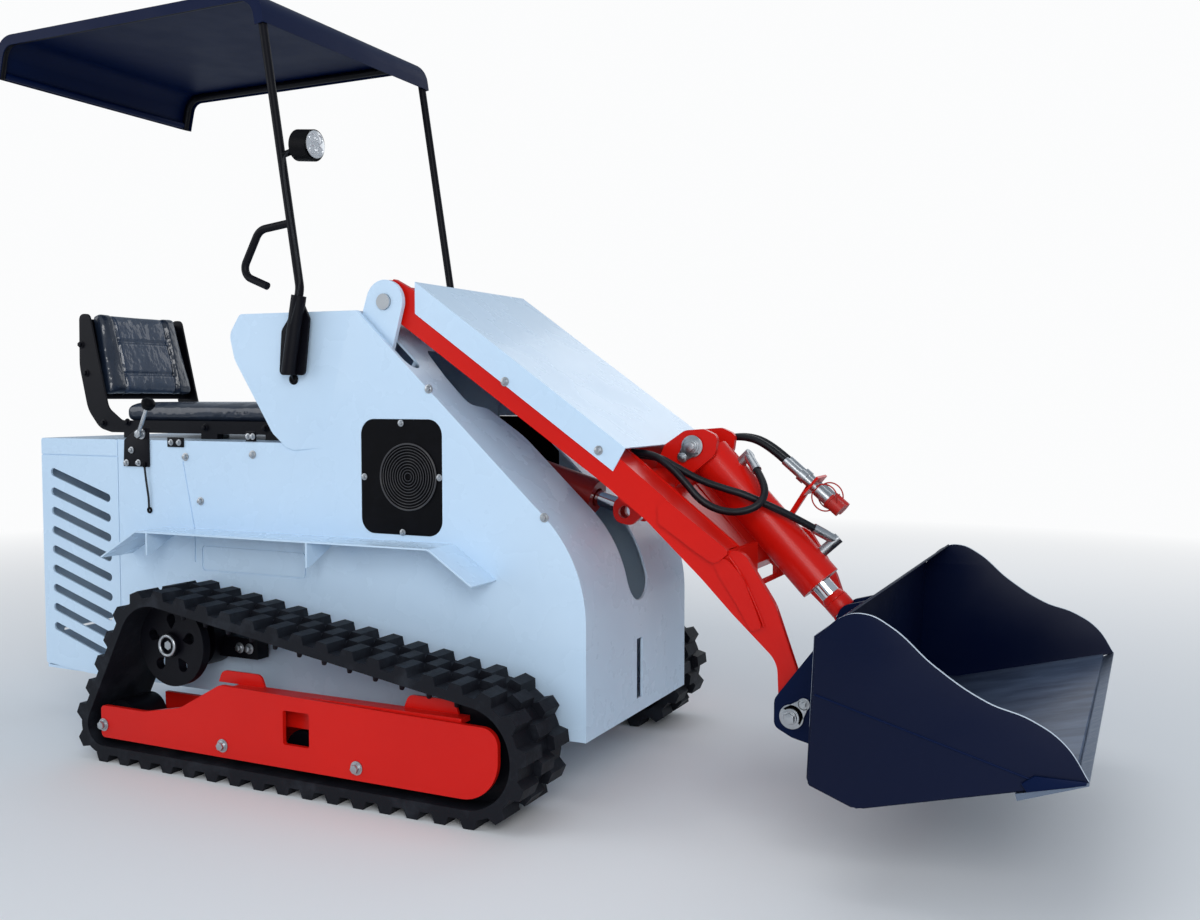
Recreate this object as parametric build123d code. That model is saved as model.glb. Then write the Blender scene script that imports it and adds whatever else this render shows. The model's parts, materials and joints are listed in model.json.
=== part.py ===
from build123d import *
from math import atan2, cos, degrees, hypot, pi, radians, sin, tan
import os

# Compact track loader with canopy, radial boom and bucket.
# Millimetres.  X runs forwards, Y to the machine's left, Z up from the ground.
# Stations are measured along X from a datum just behind the front idlers;
# export shifts the whole machine so that its footprint is centred on X = 0.

# ---------------------------------------------------------------- driving sizes
REAR_STATION = -1530.0          # rear edge of the canopy
FRONT_STATION = 1440.0          # tip of the bucket's cutting edge
SHIFT = -(REAR_STATION + FRONT_STATION) / 2

SHEET = 6.0                     # body panels
BODY_HALF = 310.0               # body side planes
BODY_REAR = -1440.0
BODY_FRONT = 351.0
BELLY_Z = 150.0
DECK_Z = 833.0
TOWER_TOP = 1170.0
TOWER_NOSE = (BODY_FRONT, 571.4)   # where the slanted front's plane meets the upright one
TOWER_SLOPE = 0.932             # fall of the slanted front for each mm forwards
NOSE_RADIUS = 338.0
SLOT_HALF = 62.0                # lift cylinder's slot in the front
SLOT_FOOT = 438.0
CREASE = (-415.0, 829.0)        # foot of the crease where the control panel's cheek flares out
CREASE_RISE = radians(74.4)
FLARE = radians(3.4)
VENT = (-160.0, 754.0)
VENT_WIDTH = 242.0
VENT_HEIGHT = 288.0
GUARD = (-138.0, 755.0)         # centre of the vent's finger guard
FENDER = [(-1080, 512), (-950, 588), (-10, 592), (110, 512)]

TRACK_OUTER = 550.0             # outer face of each track
LUG_HEIGHT = 20.0
BAND = 22.0
LUG_PITCH = 75.0
# wheels that the track runs round: x, z, radius to the lugs' tips
SPROCKET = (-763.0, 312.0, 152.0)
REAR_ROLLER = (-940.0, 95.0, 95.0)
IDLER = (170.0, 158.0, 158.0)

BOOM_PIVOT = (-220.0, 1190.0)
BUCKET_PIVOT = (835.0, 266.0)
ARM_Y = 262.0                   # centre plane of each boom plate
ARM_THICK = 16.0
LIFT_BASE = (-320.0, 860.0)
LIFT_EYE = (330.0, 665.0)
TILT_BASE = (517.0, 832.0)
TILT_EYE = (892.0, 434.0)

ARM_TOP = [(428, 804), (672, 614)]   # upper edge of the box beams as far as the knee
CROSS_TUBE = (438, 742)
COVER_TOP = 1139.8              # the cover's top over X = 0, and its fall for each mm forwards
COVER_SLOPE = 0.70
TILT_RADIUS = 52.0
PIVOT_PLATE = (279.0, 291.0)    # inner and outer face of the plates that carry the boom
BEAM_INNER = 168.0              # inner face of the box beams behind the boom's knee
HOSE_PLATE_X = 395.0            # plate under the boom cover that the hoses come out of
HOSE_RADIUS = 9.0
CRIMP_RADIUS = HOSE_RADIUS + 3
BOSS_RADIUS = 13.0
COUPLER_START = (702.0, 796.0)
COUPLER_Y = (88.0, 126.0)
# route of each auxiliary hose: corners as X, Z; it leads straight into its coupler
AUX_HOSE = [(395, 812), (455, 812), (520, 844), (590, 856), (652, 838), COUPLER_START]

BUCKET_HALF = 570.0
DOOR_HINGE = (-1450.0, 286.0)   # X, Y of the rear door's upright hinge line

SEAT_HALF = 180.0
SEAT_LEAN = 14.5
CANOPY_HALF = 355.0
TUBE = 11.0                     # radius of the canopy's tube
# right-hand hoop: foot, knee, front corner, rear corner, end of the rear stub
POST_FOOT = (-472, 1012)
HOOP = [(-435, 1208), (-431.3, 1227.6), (-551, 1972), (-1490, 1972), (-1515, 1870)]
HOOP_BENDS = [60, 60, 50]
ROOF_FRONT_Z = 1895.0          # lower edge of the roof sheet over the front posts


# ---------------------------------------------------------------- small helpers
def slab(shape, y_from, y_to):
    """Extrude an outline drawn in X, Z between two Y planes."""
    return extrude(Plane.XZ.offset(-y_from) * shape, amount=-(y_to - y_from))


def outline(points, radius=0.0):
    """Closed outline with its corners rounded; radius is one value or one each."""
    return make_face(FilletPolyline(*points, radius=radius, close=True))


def disc(x, z, radius, y_from, y_to):
    """Round bar along Y."""
    return slab(Pos(x, z) * Circle(radius), y_from, y_to)


def box(x_from, x_to, y_from, y_to, z_from, z_to):
    size = (x_to - x_from, y_to - y_from, z_to - z_from)
    middle = ((x_from + x_to) / 2, (y_from + y_to) / 2, (z_from + z_to) / 2)
    return Pos(*middle) * Box(*size)


def mirrored(shape):
    """The same piece on the machine's other side."""
    return mirror(shape, about=Plane.XZ)


def both(shape):
    return Compound([shape, mirrored(shape)])


def rod(start, end, radius, y=0.0):
    """Round bar between two X, Z points in the plane at y."""
    length = hypot(end[0] - start[0], end[1] - start[1])
    place = Plane(origin=(start[0], y, start[1]), z_dir=(end[0] - start[0], 0, end[1] - start[1]))
    return place * Cylinder(radius, length, align=(Align.CENTER, Align.CENTER, Align.MIN))


def along(start, end, distance):
    """Point at a distance from start towards end."""
    length = hypot(end[0] - start[0], end[1] - start[1])
    part = distance / length
    return (start[0] + part * (end[0] - start[0]), start[1] + part * (end[1] - start[1]))


def heading(points, i):
    """Direction of the run that starts at points[i], in radians."""
    (x, z), (next_x, next_z) = points[i], points[i + 1]
    return atan2(next_z - z, next_x - x)


def corner_turn(points, i):
    """How far a route turns to the left at points[i]; nothing at its ends."""
    if i in (0, len(points) - 1):
        return 0.0
    turn = heading(points, i) - heading(points, i - 1)
    return atan2(sin(turn), cos(turn))


def beside(points, distance):
    """The corners of a route after it moves to its left by a distance."""
    moved = []
    for i, (x, z) in enumerate(points):
        turn = corner_turn(points, i)
        middle = heading(points, max(i - 1, 0)) + turn / 2
        reach = distance / cos(turn / 2)
        moved.append((x - reach * sin(middle), z + reach * cos(middle)))
    return moved


def bent(points, bends, near, far):
    """Bent sheet between two distances to the left of a route with the given bend radii."""
    def side(distance):
        turns = [corner_turn(points, i) for i in range(1, len(points) - 1)]
        return [r - distance if turn > 0 else r + distance for r, turn in zip(bends, turns)]
    corners = beside(points, near) + beside(points, far)[::-1]
    return outline(corners, [0] + side(near) + [0, 0] + side(far)[::-1] + [0])


def strip(start, end, thick):
    """Straight strip of plate whose upper edge runs from start to end."""
    return bent([start, end], [], 0, -thick)


# ---------------------------------------------------------------- undercarriage
def loop_path(inset):
    """The tight loop round the three wheels, inset from the lugs' tips."""
    circles = [Pos(x, z) * Circle(r - inset) for x, z, r in (SPROCKET, REAR_ROLLER, IDLER)]
    return make_hull([c.edge() for c in circles])


def track():
    """Right-hand rubber track: a band with staggered rows of block lugs."""
    outer = loop_path(LUG_HEIGHT)
    band = outer - loop_path(LUG_HEIGHT + BAND)
    rim = outer.face().outer_wire()
    centre = outer.face().center()
    count = round(rim.length / LUG_PITCH)
    foot, tip = 46.0, 28.0
    lug = Polygon((-foot / 2, -2), (foot / 2, -2), (tip / 2, LUG_HEIGHT), (-tip / 2, LUG_HEIGHT), align=None)
    # rows of lugs: distance in from the outer face, row width, phase
    rows = ((0.0, 70.0, 0.0), (70.0, 60.0, 0.5), (130.0, 70.0, 0.0))
    bands = []
    for inset, width, phase in rows:
        lugs = []
        for i in range(count):
            at = (i + phase) / count % 1.0
            place, way = rim @ at, rim % at
            away = place - centre
            side = 90 if way.X * away.Y > way.Y * away.X else -90
            turn = degrees(atan2(way.Y, way.X)) + side
            lugs.append(Pos(place.X, place.Y) * Rot(0, 0, turn - 90) * lug)
        row = Sketch() + [band] + lugs - Pos(0, -50) * Rectangle(4000, 100)
        start = -TRACK_OUTER + inset
        bands.append(slab(row, start, start + width))
    return Part() + bands


def track_frame():
    """Right-hand track frame: an outer and an inner plate joined by a top plate."""
    profile = outline(
        [(-954, 62), (250, 62), (250, 228), (-545, 242), (-677, 170), (-800, 146), (-954, 146)],
        [12, 94, 40, 30, 60, 90, 12],
    )
    window = Pos(-307, 161) * RectangleRounded(79, 83, 6)
    outer = slab(profile - window, -540, -528)
    top = box(-520, 150, -528, -492, 226, 238)
    web = box(-520, 20, -498, -492, 150, 226)
    floor = box(-520, 20, -492, -360, 150, 160)
    inner = box(-900, 210, -372, -360, 62, 150)
    # lugs that the frame's two mounting beams are welded to
    lug = outline([(-74, 238), (-62, 268), (62, 268), (74, 238)], [0, 20, 20, 0])
    lugs = [slab(Pos(x, 0) * lug, -498, -492) for x in (-512, 50)]
    beams = [box(x - 35, x + 35, -360, -BODY_HALF, 100, 150) for x in (-480, -60)]
    return Part() + [outer, top, web, floor, inner] + lugs + beams


def rollers():
    """Front idler, rear roller and bottom rollers, all inside the track frame."""
    inner = LUG_HEIGHT + BAND
    table = [(x, z, tip - inner - 0.5) for x, z, tip in (IDLER, REAR_ROLLER)]
    table += [(x, 92.0, 49.0) for x in (-741, -537, -333, -129)]
    wheels = [disc(x, z, r, -485, -380) for x, z, r in table]
    axles = [disc(x, z, 12, -528, -372) for x, z, r in table]
    return Compound([w + a for w, a in zip(wheels, axles)])


def sprocket():
    x, z, tip = SPROCKET
    radius = tip - LUG_HEIGHT - BAND - 1
    wheel = disc(x, z, radius, -480, -455)
    # five holes, each a circle drawn out to a point towards the hub
    drop = make_hull([(Pos(66, 0) * Circle(15)).edge(), (Pos(44, 0) * Circle(3)).edge()])
    holes = [slab(Pos(x, z) * Rot(0, 0, a) * drop, -481, -454) for a in range(18, 378, 72)]
    hub = disc(x, z, 32, -494, -455) - disc(x, z, 20, -495, -486)
    return wheel - holes + hub


def drive_motor():
    x, z, tip = SPROCKET
    motor = disc(x, z, 46, -455, -BODY_HALF) + disc(x, z, 75, -400, -BODY_HALF - 20)
    return motor + box(x, x + 190, -372, -BODY_HALF - 20, 268, 322)


# ---------------------------------------------------------------- body
def nose(distance, top=TOWER_TOP):
    """Corners of the tower's front, from its top edge down, moved outwards by a distance."""
    corner_x, corner_z = TOWER_NOSE
    top_x = corner_x - (top - corner_z) / TOWER_SLOPE
    return beside([(top_x, top), TOWER_NOSE, (corner_x, BELLY_Z)], distance)


def side_plate():
    """Side of the tower with its vent opening, and the control panel's flared cheek."""
    shape = outline(
        [(-1128, BELLY_Z), (-1128, DECK_Z), (-500, DECK_Z), (-428, 829), (-330, TOWER_TOP)] + nose(0),
        [10, 5, 0, 0, 0, 0, NOSE_RADIUS, 0],
    )
    vent = Pos(*VENT) * RectangleRounded(VENT_WIDTH, VENT_HEIGHT, 40)
    plate = slab(shape - vent, -BODY_HALF, -BODY_HALF + SHEET)
    # seams: the slanted joint of the rear quarter and the small access cover
    joint = bent([(-884, 776), (-845, 590), (-845, 500)], [40], 0, 3)
    cover = Pos(-640, 514) * (RectangleRounded(357, 70, 12) - RectangleRounded(351, 64, 9))
    seams = [slab(s, -BODY_HALF - 1, -BODY_HALF + 3) for s in (joint, cover)]
    return plate - seams + cheek()


def flare(x, z):
    """How far the cheek's outer face stands out from the body side at X, Z."""
    behind = (z - CREASE[1]) * cos(CREASE_RISE) - (x - CREASE[0]) * sin(CREASE_RISE)
    return behind * tan(FLARE) + 0.7


def cheek():
    """Side of the control panel, bent a little outwards behind an upright crease."""
    shape = outline(
        [(-405, 822), (-493, 815), (-516, 822), (-558, 858), (-674, 1051), (-689, 1117), (-654, TOWER_TOP),
         (-308, TOWER_TOP)],
        [0, 20, 20, 40, 60, 40, 15, 0],
    )
    rise, lean = sin(CREASE_RISE), cos(CREASE_RISE)
    outwards = (sin(FLARE) * rise, -cos(FLARE), -sin(FLARE) * lean)
    face = Plane(origin=(CREASE[0], -BODY_HALF - 0.7, CREASE[1]), x_dir=(lean, 0, rise), z_dir=outwards)
    sheet = face * Box(1500, 1500, SHEET, align=(Align.CENTER, Align.CENTER, Align.MAX))
    return slab(shape, -BODY_HALF - 60, -BODY_HALF + 60) & sheet


def fan_vent():
    """Black vent cover, recessed round a finger guard of rings and bars."""
    plate = slab(Pos(*VENT) * RectangleRounded(VENT_WIDTH - 2, VENT_HEIGHT - 2, 39), -BODY_HALF, -BODY_HALF + 5)
    well = disc(*GUARD, 84, -BODY_HALF - 1, -BODY_HALF + 3)
    rings = [disc(*GUARD, r, -BODY_HALF, -BODY_HALF + 4) - disc(*GUARD, r - 4, -BODY_HALF - 1, -BODY_HALF + 4)
             for r in (70, 44, 18)]
    cross = [Pos(*GUARD) * Rot(0, 0, a) * Rectangle(168, 5) for a in (45, 135)]
    bars = [slab(bar, -BODY_HALF, -BODY_HALF + 4) for bar in cross]
    return Part() + [plate - well] + rings + bars


def louvre_panel():
    """Rear side panel with slanted, round-ended slots and the engine lid's seam."""
    plate = outline([(BODY_REAR, 165), (BODY_REAR, DECK_Z), (-1131, DECK_Z), (-1131, BELLY_Z), (-1265, BELLY_Z)], 8)
    slots = [Pos(-1282.5, 699 - 57 * i) * Rot(0, 0, -17.4) * SlotOverall(251, 24) for i in range(9)]
    seam = box(BODY_REAR - 1, -1130, -BODY_HALF - 1, -BODY_HALF + 3, 783, 786)
    return slab(plate - slots, -BODY_HALF, -BODY_HALF + SHEET) - seam


def front_panel():
    """Slanted front: a wide opening for the arms that narrows to the lift cylinder's slot."""
    inner = BODY_HALF - SHEET
    panel = slab(bent(nose(0), [NOSE_RADIUS], -SHEET, 0), -inner, inner)
    # the opening seen from the front, as Y and Z: right-hand edge from the top down, then the left-hand one
    edge = [(158, 1072), (180, 1004), (187, 935), (114, 922), (SLOT_HALF, 850), (SLOT_HALF, SLOT_FOOT)]
    ring = edge + [(-y, z) for y, z in reversed(edge)]
    bends = [20, 60, 20, 30, 60, SLOT_HALF - 1]
    opening = extrude(Plane.YZ.offset(-400) * outline(ring, bends + bends[::-1]), amount=800)
    slit = box(300, 400, -18, 18, 186, 340)
    # a notch round each arm's eye and the plate beside it
    notch = Pos(BOOM_PIVOT[0], 272) * RectangleRounded(170, 54, 26)
    notches = extrude(Plane.XY.offset(1000) * notch, amount=300)
    return panel - opening - slit - both(notches)


def main_frame():
    """Belly pan, rear frame round the door, lift cylinder's webs and the boom's pivot plates."""
    inner = BODY_HALF - SHEET
    pan = box(BODY_REAR, BODY_FRONT - SHEET, -inner, inner, BELLY_Z, BELLY_Z + 8)
    rear = box(BODY_REAR, BODY_REAR + SHEET, -inner, inner, BELLY_Z + 8, DECK_Z - SHEET)
    rear -= box(BODY_REAR - 1, BODY_REAR + 10, -250, 250, 250, 770)
    cross_pin = disc(*LIFT_BASE, 15.5, -inner, inner)
    lug = outline([(BODY_REAR, 165), (-1500, 175), (-1500, 235), (BODY_REAR, 250)], [0, 25, 25, 0])
    lug -= Pos(-1472, 205) * Circle(18)
    lugs = [slab(lug, y, y + 12) for y in (-206, 194)]
    webs = [box(-345, -295, y, y + 10, BELLY_Z + 8, 900) for y in (-66, 56)]
    x, z = BOOM_PIVOT
    head = make_hull([(Pos(x, z) * Circle(55)).edge(), *Polyline((-360, 950), (-230, 950)).edges()])
    post = head + Pos(-295, 560) * Rectangle(130, 804) - Pos(x, z) * Circle(20.5)
    plate = slab(post, *PIVOT_PLATE)
    return Part() + [pan, rear, cross_pin] + webs + lugs + [plate, mirrored(plate)]


def hood():
    """Deck over the engine, with the floor that carries the seat."""
    inner = BODY_HALF - SHEET
    return box(BODY_REAR, -496, -inner, inner, DECK_Z - SHEET, DECK_Z)


def rear_door():
    """Rear door with the two knuckles of its hinges."""
    panel = box(BODY_REAR - 6.5, BODY_REAR - 0.5, -280, 284, 256, 800)
    knuckles = [Pos(*DOOR_HINGE, z) * Cylinder(7, 60) for z in (360, 700)]
    return Part() + [panel] + knuckles


def engine():
    return box(-1080, -560, -200, 200, BELLY_Z + 8, 720)


def console():
    """Tower's top and the sloping control panel between the cheeks, down to the deck."""
    front = nose(0)[0][0] - SHEET
    route = [(front, TOWER_TOP), (-480, TOWER_TOP), (-585, 1010), (-541, 893), (-496, DECK_Z)]
    inner = BODY_HALF - SHEET
    return slab(bent(route, [20, 20, 20], 0, SHEET), -inner, inner)


def fender():
    """Bent plate over the track with its two gussets."""
    skin = slab(bent(FENDER, [8, 8], 0, 4), -BODY_HALF - 110, -BODY_HALF)
    gusset = outline([(0, 0), (110, 0), (110, -12), (10, -62), (0, -62)], [0, 0, 0, 8, 0])
    gussets = [extrude(Plane((x, -BODY_HALF - 110, 591), x_dir=(0, 1, 0), z_dir=(1, 0, 0)) * gusset, amount=5)
               for x in (-912, -372)]
    return Part() + [skin] + gussets


# ---------------------------------------------------------------- operator's place
def seat_pan():
    """Pressed seat frame: two side channels bent up behind the rider, a pan and its feet."""
    cheek_plate = outline(
        [(-640, 848), (-640, 884), (-1250, 884), (-1304, 920), (-1322, 990), (-1375, 1203), (-1416, 1203),
         (-1419, 1046), (-1387, 915), (-1339, 860), (-1290, 848)],
        [8, 8, 30, 40, 60, 18, 18, 150, 90, 60, 30],
    )
    inner = SEAT_HALF
    right = slab(cheek_plate, -inner - 6, -inner)
    pan = box(-1250, -645, -inner, inner, 878, 882)
    back = slab(strip((-1408.6, 1189.7), (-1346, 947.7), 4), -inner, inner)
    places = [(x, y) for x in (-1240, -936, -700) for y in (-inner - 6, inner - 18)]
    feet = [box(x, x + 60, y, y + 24, DECK_Z, 848) for x, y in places]
    return Part() + [right, mirrored(right), pan, back] + feet


def seat_cushion():
    """Seat cushion, a plain pad that stands just clear of its frame."""
    return chamfer(box(-1262, -650, -SEAT_HALF + 3, SEAT_HALF - 3, 882.5, 934).edges().group_by(Axis.Z)[-1], 9)


def seat_back():
    """Backrest pad, leaning back, with its top corners taken off."""
    pad = Rectangle(40, 268, align=(Align.MIN, Align.MIN))
    leaning = slab(Pos(-1345, 948) * Rot(0, 0, SEAT_LEAN) * pad, -SEAT_HALF + 3, SEAT_HALF - 3)
    return chamfer(leaning.edges().group_by(Axis.Z)[-1], 9)


def throttle():
    """Throttle lever on its bracket at the deck's edge."""
    plate = outline([(-1102, 758), (-1004, 758), (-1004, 866), (-1040, 872), (-1100, 830)], [6, 6, 10, 30, 30])
    bracket = slab(plate, -BODY_HALF - 6, -BODY_HALF)
    pin = disc(-1029, 850, 9, -BODY_HALF - 14, -BODY_HALF - 6)
    lever = rod((-1029, 850), (-993, 925), 5, -BODY_HALF - 18)
    knob = rod((-996, 919), (-983, 946), 20, -BODY_HALF - 18)
    return Part() + [bracket, pin, lever, knob]


def canopy_tube():
    """The right-hand hoop's solid bar: front post, roof rail and short rear stub."""
    path = Plane.XZ.offset(CANOPY_HALF) * FilletPolyline(*HOOP, radius=HOOP_BENDS)
    return sweep(Plane(origin=path @ 0, z_dir=path % 0) * Circle(TUBE), path=path)


def post_bracket():
    """Socket that holds the canopy's post, on a plate standing off the cheek."""
    socket = rod(POST_FOOT, HOOP[0], 19, -CANOPY_HALF)
    shape = outline([(-440, 1205), (-413, 1151), (-431, 1008), (-512, 1009), (-503, 1123)], [14, 10, 12, 12, 20])
    plate = slab(shape, -CANOPY_HALF + 12, -CANOPY_HALF + 18)
    bolts = [(-450, 1160), (-478, 1050)]
    spacers = [disc(x, z, 12, -CANOPY_HALF + 18, -BODY_HALF - flare(x, z)) for x, z in bolts]
    return Part() + [socket, plate] + spacers - cheek()


def canopy_roof():
    """Roof sheet that follows the hoops over both bends, with turned-down sides and a rear rim."""
    front, *corners = HOOP[1:]
    side = -CANOPY_HALF - TUBE - 1
    # the sheet starts part of the way up the front posts
    rise = (ROOF_FRONT_Z - front[1]) / (corners[0][1] - front[1])
    start = (front[0] + rise * (corners[0][0] - front[0]), ROOF_FRONT_Z)
    route = [start] + corners
    route = route[::-1]
    bends = HOOP_BENDS[:0:-1]
    skin = slab(bent(route, bends, TUBE + 0.5, TUBE + 3.5), side - 3, -side + 3)
    rim = slab(bent(route, bends, -14, TUBE + 3.5), side - 3, side)
    bar = disc(-1514.5, 1884, 10, -CANOPY_HALF + TUBE + 1, CANOPY_HALF - TUBE - 1)
    return Part() + [skin, rim, mirrored(rim), bar]


def lamp():
    """Round work lamp on a short arm from the front post."""
    body = Plane(origin=(-404, -CANOPY_HALF, 1580), z_dir=(1, 0, -0.1)) * Cylinder(39, 50)
    arm = rod((-420, 1577), (-484, 1562), 8, -CANOPY_HALF)
    return body + (arm - canopy_tube())


def grab_handle():
    """Bent grab bar with one end welded to the post and the other left free."""
    path = FilletPolyline((-457, 1392), (-560, 1380), (-622, 1270), (-536, 1236), radius=[40, 30])
    path = Plane.XZ.offset(CANOPY_HALF) * path
    grip = sweep(Plane(origin=path @ 0, z_dir=path % 0) * Circle(10), path=path)
    return grip - canopy_tube()


def levers():
    """Two control levers that rise from the sloping panel between the cheeks."""
    foot, tip = (-536, 1084.7), (-603, 1128.7)
    stick = rod(foot, tip, 6, -110)
    grip = rod(along(foot, tip, 42), along(foot, tip, 92), 14, -110)
    boot = rod(foot, along(foot, tip, 16), 22, -110)
    return both(Part() + [stick, grip, boot] - console())


# ---------------------------------------------------------------- boom
def arm_outline():
    body = outline(
        [(-207, 1249), (-138, 1213), ARM_TOP[0], ARM_TOP[1], (716, 614), (790, 500), (855, 317), (862, 268),
         (800, 268), (795, 377), (691, 474), (620, 546), (485, 671), (358, 765), (-230, 1166)],
        [4, 10, 60, 8, 40, 120, 60, 10, 10, 60, 30, 30, 30, 30, 20],
    )
    ends = [Pos(*BOOM_PIVOT) * Circle(56), Pos(*BUCKET_PIVOT) * Circle(44)]
    return body + ends


def boom_frame():
    """Two arms, box beams behind the knee and single plates ahead of it, joined by
    a pivot tube, a cross tube, a floor plate and a knee plate, with the cylinders' ears."""
    half = ARM_THICK / 2
    holes = [Pos(*BOOM_PIVOT) * Circle(25), Pos(*BUCKET_PIVOT) * Circle(20.5)]
    outer = slab(arm_outline() - holes, -ARM_Y - half, -ARM_Y + half)
    inner = ARM_Y - half
    knee_x = ARM_TOP[1][0]
    web = outline(
        [(300, 898), *ARM_TOP, (knee_x + 16, 600), (knee_x + 16, 505), (knee_x - 8, 505), (620, 552),
         (485, 677), (300, 815)],
        [0, 60, 8, 0, 0, 0, 30, 30, 0],
    )
    beam_inner = slab(web, -BEAM_INNER - 8, -BEAM_INNER)
    flange = slab(bent([(300, 898), *ARM_TOP], [60], -10, -2), -inner, -BEAM_INNER - 8)
    base = slab(strip((485, 685), (620, 560), 8), -inner, -BEAM_INNER - 8)
    # stiffeners welded to the outer face: a channel behind the knee, a bent bar ahead of it
    channel = outline(
        [(518, 708), (538, 722), (690, 612), (655, 582), (610, 608), (520, 668)],
        [2, 2, 10, 20, 20, 6],
    )
    bar = outline(
        [(648, 590), (680, 598), (720, 555), (763, 450), (739, 439), (703, 499), (664, 556)],
        [8, 20, 60, 8, 8, 60, 20],
    )
    stiff = [slab(channel, -ARM_Y - half - 14, -ARM_Y - half), slab(bar, -ARM_Y - half - 9, -ARM_Y - half)]
    side = Part() + [outer, beam_inner, flange, base] + stiff
    pivot_tube = disc(*BOOM_PIVOT, 45, -inner, inner) - disc(*BOOM_PIVOT, 25, -inner - 1, inner + 1)
    cross_tube = disc(*CROSS_TUBE, 38, -inner, inner)
    floor = slab(strip((452, 755), (645, 551), 8), -BEAM_INNER, BEAM_INNER)
    # cross plate at the knee, cut down so that the tilt cylinder passes
    knee = box(knee_x + 4, knee_x + 16, -inner, inner, 505, ARM_TOP[1][1] - 2)
    knee -= box(knee_x, knee_x + 20, -78, 78, 514, 700)
    lower_bar = slab(Pos(636, 548) * Rot(0, 0, 47) * Rectangle(34, 34), -inner, inner)
    hose_plate = box(HOSE_PLATE_X - 8, HOSE_PLATE_X, -BEAM_INNER, BEAM_INNER, 770, 834)
    lift_ear = outline([(300, 640), (300, 690), (410, 765), (460, 730), (350, 632)], [28, 28, 5, 5, 20])
    tilt_ear = outline(
        [(410, 745), (447, 836), (500, 872), (548, 876), (584, 860), (578, 815), (525, 772), (470, 730)],
        [5, 20, 30, 30, 18, 30, 40, 5],
    )
    ears = [slab(lift_ear - Pos(*LIFT_EYE) * Circle(16), a, a + 12) for a in (-52, 40)]
    ears += [slab(tilt_ear - Pos(*TILT_BASE) * Circle(17), a, a + 14) for a in (-72, 58)]
    across = [pivot_tube, cross_tube, floor, knee, lower_bar, hose_plate]
    return Part() + [side, mirrored(side)] + across + ears


def boom_pins():
    """Pivot pin across the tower and the tilt cylinder's base pin."""
    pivot = disc(*BOOM_PIVOT, 20, -PIVOT_PLATE[1] - 6, PIVOT_PLATE[1] + 6)
    return Compound([pivot, disc(*TILT_BASE, 15.5, -75, 75)])


def boom_cover():
    """Folded cover over the arms: a flat top and two skirts."""
    out = ARM_Y + ARM_THICK / 2
    ends = (-140, 434)
    top = [(x, COVER_TOP - COVER_SLOPE * x) for x in ends]
    skirt = outline([top[0], top[1], (402, 782), (-140, 1159)], 0)
    lid = slab(strip(*top, 3), -out, out)
    side = slab(skirt, -out - 3.5, -out)
    return Part() + [lid, side, mirrored(side)]


def coupler_frame(y, distance):
    """Plane across a coupler's axis at a distance from where its hose meets it."""
    x, z = COUPLER_START
    way = heading(AUX_HOSE, len(AUX_HOSE) - 2)
    origin = (x + distance * cos(way), y, z + distance * sin(way))
    return Plane(origin=origin, z_dir=(cos(way), 0, sin(way)))


def turned(y, sections):
    """Stepped round piece along a coupler's axis, from start, length and radius of each step."""
    steps = [coupler_frame(y, start) * Cylinder(r, length, align=(Align.CENTER, Align.CENTER, Align.MIN))
             for start, length, r in sections]
    return Part() + steps


def aux_couplers():
    """Crimps, nuts and quick couplers at the ends of the auxiliary hoses."""
    sections = ((0, 50, 11), (50, 18, 15), (68, 40, 12), (108, 36, 16))
    return Compound([turned(y, sections) for y in COUPLER_Y])


def dust_caps():
    """Dust caps over the couplers' ends."""
    return Compound([turned(y, ((144, 40, 18),)) for y in COUPLER_Y])


def aux_bracket():
    """Post from the knee plate with the cross tab that the couplers pass through."""
    x, z = ARM_TOP[1]
    post = slab(Polygon((x + 4, z - 2), (x + 18, z - 2), (764, 727), (753, 735), align=None), 100, 112)
    tab = coupler_frame(107, 92) * Box(56, 84, 6)
    bores = [coupler_frame(y, 92) * Cylinder(12, 20) for y in COUPLER_Y]
    return Part() + [post, tab] - bores


# ---------------------------------------------------------------- cylinders
def barrel(base, eye, radius, eye_radius, length):
    end = along(base, eye, length)
    start = along(base, eye, eye_radius * 0.8)
    body = rod(start, end, radius)
    bore = rod(along(base, eye, eye_radius + 30), along(base, eye, length + 1), radius * 0.55)
    lug = disc(*base, eye_radius, -28, 28)
    return lug + body - bore - disc(*base, 16, -60, 60)


def piston_rod(base, eye, radius, eye_radius, start):
    reach = hypot(eye[0] - base[0], eye[1] - base[1]) - eye_radius * 0.6
    body = rod(along(base, eye, start), along(base, eye, reach), radius)
    lug = disc(*eye, eye_radius, -26, 26)
    return lug + body


def lift_barrel():
    return barrel(LIFT_BASE, LIFT_EYE, 45, 34, 575)


def lift_rod():
    return piston_rod(LIFT_BASE, LIFT_EYE, 20, 30, 420)


def tilt_barrel():
    return barrel(TILT_BASE, TILT_EYE, TILT_RADIUS, 38, 440)


def tilt_rod():
    return piston_rod(TILT_BASE, TILT_EYE, 24, 28, 310)


# ---------------------------------------------------------------- hoses
# Routes from the fixed end to the free end: corners that the bends round off.
BASE_HOSE = [
    (395, -150, 820), (443, -150, 820), (492, -152, 792), (533, -150, 752), (566, -146, 712), (610, -138, 688),
    (661, -130, 684), (705, -112, 702), (709, -78, 742), (672, -41, 778),
]
ROD_HOSE = [
    (395, -118, 812), (446, -118, 812), (498, -114, 784), (550, -106, 756), (604, -97, 738), (656, -87, 724),
    (704, -66, 700), (754, -38, 674), (802, -8, 643),
]


def hose_route(points):
    """Route with each corner rounded as widely as the shorter run beside it allows."""
    radii = []
    for before, corner, after in zip(points, points[1:], points[2:]):
        run_in, run_out = Vector(corner) - Vector(before), Vector(after) - Vector(corner)
        turn = radians(run_in.get_angle(run_out))
        radii.append(0.45 * min(run_in.length, run_out.length) / tan(turn / 2))
    return FilletPolyline(*points, radius=radii), radii


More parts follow.
